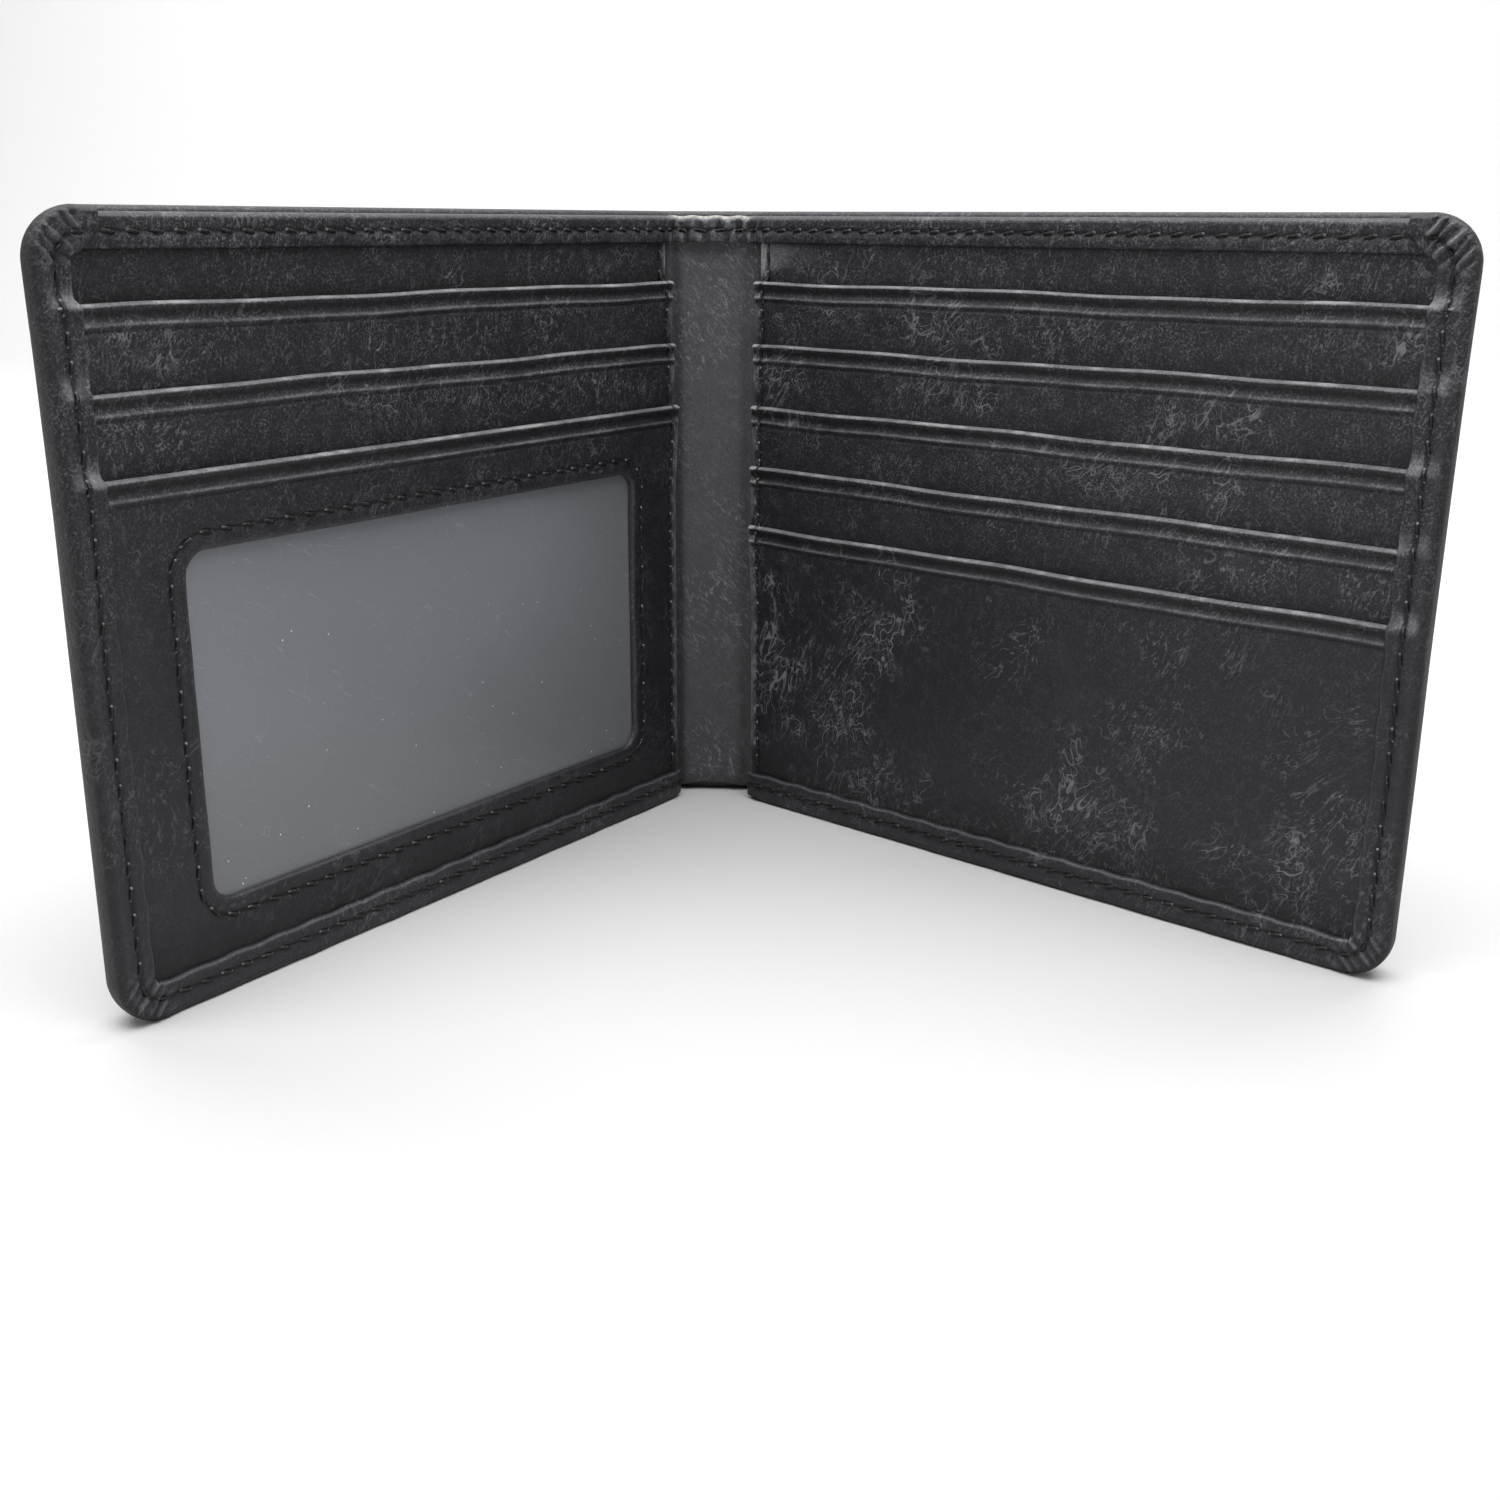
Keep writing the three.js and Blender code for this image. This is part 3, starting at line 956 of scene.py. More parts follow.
@dataclass(frozen=True)
class Pocket:
    """One card pocket's strip of leather, which leans out over the strip above and has a rolled edge."""

    name: str
    top: float
    foot: float
    bottom: float
    strip: float = 14.5
    lean: float = 0.0579
    leather: float = 0.7
    lip: float = 0.42
    roll: Bell = Bell(0.24, 0.40, 0.36)
    under_roll: Bell = Bell(-0.26, 1.55, 0.55)
    crease: Bell = Bell(0.16, 2.50, 0.24)
    under_crease: Bell = Bell(-0.14, 3.05, 0.26)

    @property
    def last(self) -> bool:
        """Whether this pocket reaches the bottom of the wing."""
        return self.bottom < 5.0

    def back(self, v: Array) -> Array:
        """The level of the strip's back: flat below, then leaning out."""
        return self.foot + self.lean * np.clip(v - (self.top - self.strip), 0.0, self.strip)

    def relief(self, v: Array) -> Array:
        """What stands out along the edge: a roll, a groove under it, a creased line and its shadow."""
        below = self.top - v
        return sum(bell(below) for bell in (self.roll, self.under_roll, self.crease, self.under_crease))

    def face(self, v: Array) -> Array:
        """The level of the strip's face, without the rounding of its edge."""
        return self.back(v) + self.leather + self.relief(v)


@dataclass(frozen=True)
class Stack:
    """The card panel and the pockets on it, as one stepped surface."""

    pockets: tuple[Pocket, ...]
    band_foot: float
    band_level: float
    softness: float = 0.30
    breadth: float = 5.0
    step: float = 0.05
    high: float = 96.0

    def lines(self, softness: float) -> tuple[Array, Array]:
        """Works out the surface's level up the wing, softened as leather laid over it would be.

        Args:
            softness: the width of the bell curve that it is softened with.

        Returns:
            Fine steps up the wing, and the level at each.
        """
        v = np.arange(0.0, self.high, self.step)
        level = np.zeros_like(v)
        for pocket in self.pockets:
            level = np.where(v <= pocket.top + 0.1, pocket.face(v), level)
        level = np.where(v >= self.band_foot - 0.1, self.band_level, level)
        reach = int(4.0 * softness / self.step)
        kernel = np.exp(-0.5 * (np.arange(-reach, reach + 1) * self.step / softness) ** 2)
        padded = np.pad(level, reach, mode="edge")
        return v, np.convolve(padded, kernel / kernel.sum(), mode="valid")

    def level(self, v: Array) -> Array:
        """The softened level at v."""
        return np.interp(v, *self.lines(self.softness))

    def broad(self, v: Array) -> Array:
        """The level at v without its steps, as the wallet's outer edge follows it."""
        return np.interp(v, *self.lines(self.breadth))


# ---------------------------------------------------------------- wings


@dataclass
class Wing:
    """One wing with its half of the spine: the cover, the linings, the card panel, pockets and seams."""

    fold: Fold
    nodes: dict[str, bpy.types.Object]
    finishes: Finishes
    half_spine: float
    cover: float = 0.9
    shell: float = 0.5
    hem: float = 0.6
    gap: float = 0.1
    side_hem: float = 5.0
    bottom_hem: float = 4.9
    corner: float = 6.0
    corner_return: float = 8.5
    seam_inset: float = 2.8
    window_seam: float = 2.3
    edge_seam: float = 1.8
    reach: float = 2.7
    band_reach: float = 4.2
    most_spine_reach: float = 3.5
    hem_groove: Groove = Groove(0.24, 0.34, 0.06, 0.0, 1.2, 0.9, 0.30)
    band_groove: Groove = Groove(0.17, 0.30, 0.07, 1.0, 0.5, 0.8, 0.28)
    edge_press: Groove = Groove(0.16, 0.34, 0.05, 1.0, 0.5, 0.7, 0.28)
    gather_pitch: float = 1.3
    top_gather: float = 1.0
    bottom_gather: float = 0.42
    back_curve: float = 3.8
    front_curve: float = 0.8
    round_off: float = 0.45
    wall: float = 0.3
    lip: float = 0.9

    def __post_init__(self) -> None:
        """Reads the levels and edges of the wing from its nodes."""
        self.name = self.fold.name
        low, high = self.extent("cover")
        self.outer = float(high[0])
        self.height = float(high[1])
        self.cover_back = float(low[2])
        low, high = self.extent("card_panel")
        self.inner = float(low[0])
        self.panel = float(high[2] - low[2])
        self.band_low, self.band_high = self.extent("top_band")
        self.lining_level = float(self.extent("cover_lining")[1][2])
        self.far = self.outer - self.corner
        self.hem_end = self.outer - self.corner_return
        prefix = f"{self.name}_pocket_"
        names = sorted(n for n in self.nodes if n.startswith(prefix) and "lining" not in n)
        names += [n for n in (f"{self.name}_id_pocket",) if n in self.nodes]
        found = []
        for node in names:
            low, high = self.fold.extent(self.nodes[node])
            found.append(Pocket(node, float(high[1]), float(low[2]), float(low[1])))
        self.pockets = tuple(found)
        self.stack = Stack(self.pockets, float(self.band_low[1]), float(self.band_high[2]))

    def extent(self, part: str) -> tuple[Array, Array]:
        """The lowest and highest u, v and n of one of this wing's nodes."""
        return self.fold.extent(self.nodes[f"{self.name}_{part}"])

    @property
    def flip(self) -> bool:
        """Whether a grid of u and v has to be turned to face the open side."""
        return self.fold.side < 0

    # ------------------------------------------------------------ riding

    def rigid(self, piece: bpy.types.Object, slot: str, *replaced: str) -> bpy.types.Object:
        """Lets a piece ride on the wing, in place of some nodes.

        Args:
            piece: the piece.
            slot: its material slot; not used.
            replaced: the nodes it stands for.

        Returns:
            The piece.
        """
        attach(piece, self.fold.body)
        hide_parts(*replaced)
        return piece

    def layer(
        self,
        name: str,
        points: Array,
        worn_and_lit: Array | float,
        material: bpy.types.Material,
        wall: float,
    ) -> bpy.types.Object:
        """Makes a piece from one grid that faces the open side.

        Args:
            name: the piece's name.
            points: the grid in metres.
            worn_and_lit: how far each point is rubbed, with painted light and shade added.
            material: the finish.
            wall: the thickness behind the grid, in millimetres.

        Returns:
            The piece.
        """
        mesher = Mesher(name)
        mesher.grid(points, worn_and_lit, self.flip)
        return mesher.build(material, wall)

    def with_spine(self, part: str) -> list[str]:
        """The wing's node of a part, and on the left wing the spine's node of that part too."""
        bodies = (self.name, "spine") if self.flip else (self.name,)
        return [f"{body}_{part}" for body in bodies]

    def bending(self, piece: bpy.types.Object, slot: str, *replaced: str) -> bpy.types.Object:
        """Takes a piece that is already bent between the spine and the wing, in place of some nodes:
        bakes its transform into its mesh and hides those nodes.

        Args:
            piece: the piece.
            slot: its material slot; not used.
            replaced: the nodes it stands for.

        Returns:
            The piece.
        """
        start = self.fold.place(-self.spine_reach, 0.0, -self.fold.depth)
        end = self.fold.place(self.reach, 0.0, -self.fold.depth)
        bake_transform(piece)
        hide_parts(*replaced)
        return piece

    @property
    def spine_reach(self) -> float:
        """How far the bend reaches on the spine's side, measured along the wing."""
        middle = self.half_spine * math.cos(self.fold.angle)
        return min(self.most_spine_reach, middle - self.fold.depth * math.sin(self.fold.angle))

    # ------------------------------------------------------------ cover

    def outline(self) -> tuple[Array, Array, Array, Array]:
        """Walks round the cover: along the bottom, up the outer side and back along the top.

        Returns:
            For each station its u and v on the edge, and the inward direction in u and v.
        """
        corner, far = self.corner, self.far
        along = self.columns()
        up = self.rows()
        angle = np.linspace(0.0, QUARTER, 61)
        sine, cosine = np.sin(angle), np.cos(angle)
        zero = np.zeros_like
        one = np.ones_like
        parts = [
            (along, zero(along), zero(along), one(along)),
            (far + corner * sine, corner * (1.0 - cosine), -sine, cosine),
            (np.full_like(up, self.outer), up, -one(up), zero(up)),
            (far + corner * cosine, self.height - corner * (1.0 - sine), -cosine, -sine),
            (along[::-1], np.full_like(along, self.height), zero(along), -one(along)),
        ]
        u, v, in_u, in_v = (np.concatenate(column) for column in zip(*parts))
        return u, v, in_u, in_v

    def columns(self) -> Array:
        """The grid lines along u that the cover's edge and its back share."""
        return spread(-self.half_spine, (self.inner, 0.5), (self.hem_end, 1.6), (self.far, 0.5))

    def rows(self) -> Array:
        """The grid lines up the wing that the cover's edge and its back share."""
        return spread(self.corner, (self.height - self.corner, 0.64))

    def hem_level(self, u: Array, v: Array, inset: Array | float) -> Array:
        """The level of the hem's face: the stack's, plus the hem, with the seam pulled in.

        Args:
            u: places outwards.
            v: places up.
            inset: how far each place lies from the cover's edge.

        Returns:
            The level.
        """
        near = 0.85 * smooth((np.asarray(inset) - 1.2) / 3.0)
        over = (1.0 - near) * self.stack.broad(v) + near * self.stack.level(v) + self.gap + self.hem
        uneven = Ripple(11 + self.fold.side, 0.07, 7.0)(u, v)
        return over + self.hem_groove.relief(inset, self.seam_inset) + uneven

    def build_cover(self) -> None:
        """Makes the cover: its back, its rounded edge, and the hem turned over onto the pockets.

        The edge is a half ellipse carried round the outline. Its back half joins the flat back, and
        its front half the hem. Where nothing is turned over the stack, along the top and under the
        spine, the leather turns back on itself inside the wallet.
        """
        u, v, in_u, in_v = self.outline()
        bottom = v < NEAR
        top = v > self.height - NEAR
        past = np.where(bottom, u - self.inner + 1.0, np.where(top, u - self.hem_end + 1.0, 10.0))
        full = smooth(past / 5.0)
        stack = self.stack.broad(v) + self.gap + self.hem
        thin = self.cover
        crest = (1.0 - full) * (self.cover_back + thin) + full * (stack - self.lip)
        tall = crest - self.cover_back
        wide = (1.0 - full) * thin + full * self.back_curve

        # The back: flat, drawn in a little towards the edge, then a quarter ellipse to the crest.
        share = np.concatenate([np.linspace(0.0, 1.0, 9)[:-1], np.linspace(1.0, 2.0, 13)])[:, None]
        flat = np.clip(share, 0.0, 1.0)
        curl = np.clip(share - 1.0, 0.0, 1.0) * QUARTER
        inset = (1.0 - flat) * (self.corner - wide) + wide
        inset = np.where(share > 1.0, wide * (1.0 - np.sin(curl)), inset)
        draw_in = 0.15 * full * smooth(1.0 - (inset - wide) / 4.0)
        level = self.cover_back + draw_in + (tall - draw_in) * (1.0 - np.cos(curl))
        at_u = u + in_u * inset
        at_v = v + in_v * inset
        ridge = self.ridges(at_u, at_v)
        level = level + 0.12 * ridge * smooth(share - 1.2)
        # Pale on the gathers, which are rubbed; painted shade on the rounded outer edge.
        worn_and_lit = (0.25 * ridge - 0.45) * smooth(share - 1.0) * full
        mesher = Mesher(f"{self.name}_cover_leather")
        mesher.grid(self.fold.bend(at_u, at_v, level, self.reach), worn_and_lit, self.flip)

        # The back's middle, on the same lines as its edge.
        middle = self.fold.bend(self.columns(), self.rows()[:, None], self.cover_back, self.reach)
        mesher.grid(middle, 0.0, not self.flip)

        # The hem, from the crest to its inner edge.
        keep = ~(bottom & (u < self.inner - NEAR)) & ~(top & (u < self.hem_end))
        crest = level[-1]
        self.add_hem(mesher, u[keep], v[keep], in_u[keep], in_v[keep], crest[keep])

        # The turned edge along the top and under the spine, inside the wallet.
        for chosen in (top & (u <= self.hem_end + NEAR), bottom & (u <= self.inner + NEAR)):
            self.add_turned(mesher, u[chosen], v[chosen], in_v[chosen], crest[chosen])
        piece = mesher.build(self.finishes.cover, self.shell)
        self.bending(piece, "cover_leather", *self.with_spine("cover"))

    def ridges(self, u: Array, v: Array) -> Array:
        """The gathers in the leather at the corners: ridges side by side that point at the corner.

        With s the place across the diagonal and t the place along it, a ridge is
        (0.5 + 0.5 cos(2 pi s / pitch + 0.8 sin(1.6 s + 0.9 t)))^1.5, faded out away from the corner.

        Args:
            u: places outwards.
            v: places up.

        Returns:
            The ridges' height, from 0 to 1.
        """
        found = np.zeros(np.broadcast(u, v).shape)
        for up, middle, strength in (
            (1.0, self.height - self.corner, self.top_gather),
            (-1.0, self.corner, self.bottom_gather),
        ):
            out = u - self.far
            rise = up * (v - middle)
            across = (out - rise) / DIAGONAL
            along = (out + rise) / DIAGONAL
            phase = TURN * across / self.gather_pitch
            wave = 0.5 + 0.5 * np.cos(phase + 0.8 * np.sin(1.6 * across + 0.9 * along))
            fade = smooth((out + 2.2) / 2.4) * smooth((rise + 2.2) / 2.4)
            fade = fade * smooth((along + 0.6) / 2.0)
            uneven = 0.7 + 0.3 * np.sin(2.3 * across + 1.0)
            found = found + strength * uneven * fade * wave**1.5
        return found

    def add_hem(
        self, mesher: Mesher, u: Array, v: Array, in_u: Array, in_v: Array, crest: Array
    ) -> None:
        """Adds the hem: a quarter ellipse down from the crest, the face over the stack, and its edge.

        Args:
            mesher: the cover's mesher.
            u: the stations' u on the outline.
            v: the stations' v on the outline.
            in_u: the inward direction's u.
            in_v: the inward direction's v.
            crest: the edge's level at each station.
        """
        wide = self.front_curve
        top = v > self.height - NEAR
        width = np.where(in_v > 0.5, self.bottom_hem, self.side_hem) + 0.12 * np.sin(u + v)
        width = np.where(top, self.side_hem - 0.9 * (self.far - u), width)
        curl = np.linspace(0.0, QUARTER, 10)[:, None]
        roll = wide * (1.0 - np.cos(curl)) + np.zeros_like(u)
        share = np.linspace(0.0, 1.0, 19)[1:, None]
        drop = np.linspace(0.0, QUARTER, 6)[1:, None]
        face = wide + (width - self.round_off - wide) * share
        edge = width - self.round_off * (1.0 - np.sin(drop))
        inset = np.concatenate([roll, face, edge])
        at_u = u + in_u * inset
        at_v = v + in_v * inset
        level = self.hem_level(at_u, at_v, inset)
        lift = np.concatenate([np.sin(curl), np.ones_like(share), np.ones_like(drop)])
        fall = np.concatenate([0.0 * curl, 0.0 * share, 1.0 - np.cos(drop)])
        ridge = self.ridges(at_u, at_v)
        rise = 0.85 * ridge * smooth((inset + 0.3) / 1.0) * smooth((width + 0.6 - inset) / 1.2)
        level = crest + (level + rise - crest) * lift - fall * (self.hem - 0.05)
        # The ends of the hem are rounded off too.
        past = (u - self.inner) / 0.4
        start = (in_v > 0.99) & (u < self.inner + 0.4) & (inset > 0.2)
        level = np.where(start, level - 0.35 * (1.0 - past), level)
        worn_and_lit = self.hem_wear_and_light(at_u, at_v, inset, ridge)
        # A painted shadow line at the hem's edge, and a painted highlight on the rim beside it, stronger
        # along the bottom, whose edge faces up.
        rim = np.where(in_v > 0.5, 0.46, 0.20)
        worn_and_lit = worn_and_lit - 0.5 * bump(inset, width, 0.14) + rim * bump(inset, width - 0.26, 0.16)
        points = self.fold.bend(at_u, at_v, level, self.reach)
        mesher.grid(points, np.clip(worn_and_lit, -1.0, 1.0), self.flip)

    def hem_wear_and_light(self, u: Array, v: Array, inset: Array, ridge: Array) -> Array:
        """Rubbing on the hem: pale patches above each pocket and pale gathers; painted shade on the seam
        and on the rounded crest.

        Args:
            u: places outwards.
            v: places up.
            inset: how far each place lies from the cover's edge.
            ridge: the height of the gathers.

        Returns:
            The rubbing and painted shade.
        """
        above = np.zeros_like(v)
        for pocket in self.pockets:
            over = v - pocket.top
            above = above + smooth((over + 0.5) / 0.3) * (1.0 - smooth((over - 0.6) / 2.2))
        on_side = smooth((u - self.outer + self.side_hem + 3.0) / 2.0)
        uneven = Ripple(31, 1.0, 3.0)(u, v)
        worn_and_lit = (0.56 + 0.26 * uneven) * above * on_side * smooth((inset - 0.6) / 1.5)
        # Pale gathers, which are rubbed, and painted shade on the rounded crest.
        worn_and_lit = worn_and_lit + 0.95 * ridge * smooth(inset / 0.8) - 0.45 * (1.0 - smooth(inset / 1.4))
        # Painted shade in the seam's groove.
        worn_and_lit = worn_and_lit - self.hem_groove.shade(inset, self.seam_inset)
        return worn_and_lit + 0.10 * bump(inset, self.front_curve, 0.6)

    def add_turned(self, mesher: Mesher, u: Array, v: Array, in_v: Array, crest: Array) -> None:
        """Adds the edge that turns back inside: a quarter ellipse and a strip behind the bill room.

        Args:
            mesher: the cover's mesher.
            u: the stations' u on the outline.
            v: the stations' v on the outline.
            in_v: the inward direction's v.
            crest: the edge's level at each station.
        """
        level = self.lining_level + 0.05
        curl = np.linspace(0.0, QUARTER, 8)[:, None]
        share = np.linspace(0.0, 1.0, 4)[1:, None]
        inset = np.concatenate([self.cover * (1.0 - np.cos(curl)), self.cover + 5.0 * share])
        lift = np.concatenate([np.sin(curl), np.ones_like(share)])
        n = crest + (level - crest) * lift
        mesher.grid(self.fold.bend(u, v + in_v * inset, n, self.reach), 0.12, self.flip)

    # ------------------------------------------------------------ linings

    def build_linings(self) -> None:
        """Makes the cloth behind the cover and behind the card panel, and the pockets' own cloth."""
        for part, trimmed in (("cover_lining", 3.2), ("bill_lining", 1.6)):
            low, high = self.extent(part)
            high[0] -= trimmed
            low[1] += trimmed
            u = spread(-self.half_spine, (6.0, 0.5), (float(high[0]), 3.0))
            v = spread(float(low[1]), (float(high[1]), 3.0))[:, None]
            middle = 0.5 * (low[1] + high[1])
            trim = self.corner_trim(u, float(high[0]))
            v = middle + (v - middle) * (1.0 - trim / (high[1] - middle))
            n = high[2] + Ripple(5, 0.03, 20.0)(u, v)
            points = self.fold.bend(u, v, n, self.reach)
            wall = 0.8 * float(high[2] - low[2])
            piece = self.layer(f"{self.name}_{part}_cloth", points, 0.0, self.finishes.cloth, wall)
            self.bending(piece, "lining_fabric", *self.with_spine(part))
            flat = ((high[0] + self.half_spine) * MM, (high[1] - low[1]) * MM)
        for pocket in self.pockets:
            node = f"{pocket.name}_lining"
            if node not in self.nodes:
                continue
            low, high = self.fold.extent(self.nodes[node])
            u = spread(float(low[0]), (float(high[0]), 4.0))
            v = spread(float(low[1]), (float(high[1]), 4.0))[:, None]
            points = self.fold.place(u, v, high[2])
            wall = 0.9 * float(high[2] - low[2])
            piece = self.layer(f"{pocket.name}_cloth", points, 0.0, self.finishes.cloth, wall)
            self.rigid(piece, "lining_fabric", node)
            flat = ((high[0] - low[0]) * MM, (high[1] - low[1]) * MM)

    def corner_trim(self, u: Array, end: float) -> Array:
        """How far a layer that ends at an outer edge is cut away above and below, for its corners."""
        inset = np.clip((u - (end - self.corner)) / self.corner, 0.0, 1.0)
        return self.corner * (1.0 - np.sqrt(1.0 - inset**2))

    # ------------------------------------------------------------ card panel and pockets

    def edge_groove(self, u: Array) -> Array:
        """The seam pressed into the inner edge, and the leather that swells beside it."""
        return self.edge_press.relief(u, self.inner + self.edge_seam)

    def edge_wear_and_light(self, u: Array, v: Array) -> Array:
        """Rubbing along the inner edge, strongest on the edge itself, with painted glints in spots at
        the seam's holes and painted shade in its groove.

        Args:
            u: places outwards.
            v: places up.

        Returns:
            The rubbing, painted glints and painted shade.
        """
        seam = self.inner + self.edge_seam
        uneven = Ripple(17, 0.5, 4.0)(u, v)
        strip = bump(u, self.inner + 0.3, 0.75)
        # Painted glints at the stitch holes.
        holes = bump(u, seam - 0.3, 0.40) * np.sin(1.083 * v) ** 10
        # The rubbed strip, the painted glints, and painted shade in the seam's groove.
        return strip * (0.74 + 0.44 * uneven) + 1.5 * holes - self.edge_press.shade(u, seam)

    def above_corner(self, u: Array, v: Array) -> Array:
        """Keeps places inside the cover's rounded lower corner: v is raised to the corner's arc."""
        over = np.clip((u - self.outer + self.corner) / (self.corner - 1.0), 0.0, 1.0)
        return np.maximum(v, 1.0 + (self.corner - 1.0) * (1.0 - np.sqrt(1.0 - over**2)))

    def leather_columns(self) -> Array:
        """Grid lines along u for the card panel and the pockets."""
        inner, outer = self.inner, self.outer
        return spread(inner, (inner + 0.6, 0.08), (inner + 3.2, 0.16), (outer - 2.0, 1.0))

    def build_panel(self) -> None:
        """Makes the card panel: flat leather with a rounded inner edge."""
        low, high = self.extent("card_panel")
        u = self.leather_columns()
        v = spread(float(low[1]), (80.0, 4.0), (float(self.band_low[1]) + 0.8, 0.4))[:, None]
        rise = self.panel * rounded((u - self.inner) / 0.5)
        uneven = Ripple(21, 0.05, 9.0)(u, v) * smooth((u - self.inner) / 4.0)
        level = low[2] + rise + uneven + self.edge_groove(u)
        # A pale strip along the inner edge above the first pocket, and panel_glow: a painted sheen on
        # the right wing, painted shade on the left.
        strip_and_painted_light = 0.5 * bump(u, self.inner + 0.2, 0.7) * smooth((v - 82.0) / 3.0)
        strip_and_painted_light = strip_and_painted_light + self.panel_glow(u, v)
        # Painted shadow under the band, and painted shade just above the first pocket's edge.
        shadow = 0.5 * smooth((v - self.band_low[1] + 0.6) / 0.6)
        shadow = shadow + 0.45 * (1.0 - smooth((v - self.pockets[0].top) / 2.6))
        worn_and_lit = np.clip(self.edge_wear_and_light(u, v) + strip_and_painted_light - shadow, -1.0, 1.0)
        points = self.fold.place(u, self.above_corner(u, v), level)
        name = f"{self.name}_card_panel"
        piece = self.layer(f"{name}_leather", points, worn_and_lit, self.finishes.inner, self.wall)
        self.rigid(piece, "inner_leather", name)

    def panel_glow(self, u: Array, v: Array) -> Array:
        """A painted sheen of light: a pale, slanting patch on the card panel beside the spine, under the
        band.

        Args:
            u: places outwards.
            v: places up.

        Returns:
            The painted light that is added.
        """
        cloud = 0.50 + 0.25 * Ripple(28, 1.0, 6.0)(u, v)
        skew = u + 1.1 * (self.band_low[1] - v)
        return 1.6 * cloud * bump(skew, self.inner + 2.0, 6.5) * smooth((v - 84.5) / 2.0)

    def pocket_level(self, pocket: Pocket, u: Array, v: Array) -> Array:
        """The level of a pocket's face, with its top and inner edges rounded to its back.

        Args:
            pocket: the pocket.
            u: places outwards.
            v: places up.

        Returns:
            The level.
        """
        inner = self.inner + 0.02
        thick = pocket.leather + pocket.relief(v)
        end = rounded((pocket.top - v) / pocket.lip) * rounded((u - inner) / 0.5)
        calm = smooth((u - inner) / 5.0) * smooth((self.outer - u) / 9.0)
        seed = int(pocket.top * 10.0)
        uneven = Ripple(seed, 0.055, 11.0)(u, v) * calm
        return pocket.back(v) + (thick + uneven + self.edge_groove(u)) * end

    def pocket_wear_and_light(self, pocket: Pocket, u: Array, v: Array) -> Array:
        """Rubbing and painted light on a pocket: its rolled edge, rubbed and with a painted highlight; a
        painted highlight on its crease; painted shade under both and low on the strip; and its inner
        edge, in uneven stretches.

        Args:
            pocket: the pocket.
            u: places outwards.
            v: places up.

        Returns:
            The rubbing and painted light, from -1 where the painted shade is darkest to 1.
        """
        below = pocket.top - v
        coarse = Ripple(int(pocket.top * 7.0), 0.5, 9.0)(u, 0.2 * v)
        fine = Ripple(int(pocket.top * 3.0), 0.5, 2.4)(u, 0.4 * v)
        # The rolled edge: rubbed, with a painted highlight where it faces the light above.
        edge = bump(below, 0.14, 0.28) * (0.86 + 0.34 * coarse + 0.30 * fine)
        # A painted highlight on the crease, where it faces up.
        crease = bump(below, 2.40, 0.20) * (0.46 + 0.30 * coarse + 0.24 * fine)
        # Painted shade under the roll and under the crease, where the leather faces down.
        dark = 0.75 * bump(below, 1.10, 0.45) + 0.55 * bump(below, 3.05, 0.30)
        # Painted shade near the hem on the last pocket, and on the others just above the next pocket's
        # edge.
        if pocket.last:
            dark = dark + 0.55 * (1.0 - smooth((v - self.bottom_hem) / 9.0))
        else:
            dark = dark + 0.50 * smooth((below - 5.5) / 3.8)
        return np.clip(edge + crease - dark + self.edge_wear_and_light(u, v), -1.0, 1.0)

    def build_pockets(self) -> None:
        """Makes every pocket that has no window: a strip of leather with a rolled top edge."""
        u = self.leather_columns()
        for pocket in self.pockets:
            if "id" in pocket.name:
                continue
            top = pocket.top
            # How far below the edge each stretch of grid lines ends, and their step there.
            coarse = 1.2 if pocket.last else 0.9
            stretches = ((10.5, coarse), (3.8, 0.9), (0.5, 0.13), (0.1, 0.05), (0.0, 0.02))
            heights = spread(pocket.bottom, *((top - below, step) for below, step in stretches))
            v = heights[:, None] + np.zeros_like(u)
            ripple = 0.10 * np.sin(u / 9.0 + top) + 0.05 * np.sin(u / 3.7)
            sway = ripple * smooth((v - top + 9.0) / 6.0) * smooth((u - self.inner) / 6.0)
            level = self.pocket_level(pocket, u, v)
            if pocket.last:
                level = level + 0.25 * bump(v, 24.0, 16.0) * bump(u, 58.0, 36.0)
                v = self.above_corner(u, v)
            points = self.fold.place(u, v + sway, level)
            worn_and_lit = self.pocket_wear_and_light(pocket, u, v)
            piece = self.layer(f"{pocket.name}_leather", points, worn_and_lit, self.finishes.inner, self.wall)
            self.rigid(piece, "inner_leather", pocket.name)

    # ------------------------------------------------------------ top band

    def band_profile(self) -> tuple[Array, Array, Array]:
        """The band's section, from its front edge up, over the top and down its back.

        Returns:
            The places up, the levels, and how far along the section each place is on the front.
        """
        foot, top = float(self.band_low[1]), float(self.band_high[1])
        back, front = float(self.band_low[2]), float(self.band_high[2])
        thick, lip, crown = 0.44, 0.22, 0.8
        drop = np.linspace(QUARTER, 0.0, 5)
        edge_v = foot + lip * (1.0 - np.sin(drop))
        edge_n = front - thick + thick * np.cos(drop)
        face_v = np.linspace(foot + lip, top - crown, 26)[1:]
        over = np.linspace(0.0, math.pi, 17)[1:]
        over_v = top - crown + crown * np.sin(over)
        over_n = 0.5 * (front + back) + 0.5 * (front - back) * np.cos(over)
        tail_v = np.linspace(top - crown, foot, 6)[1:]
        v = np.concatenate([edge_v, face_v, over_v, tail_v])
        n = np.concatenate([edge_n, np.full_like(face_v, front), over_n, np.full_like(tail_v, back)])
        on_front = np.ones(edge_v.size + face_v.size)
        ahead = np.concatenate([on_front, 0.5 + 0.5 * np.cos(over), np.zeros_like(tail_v)])
        return v, n, ahead

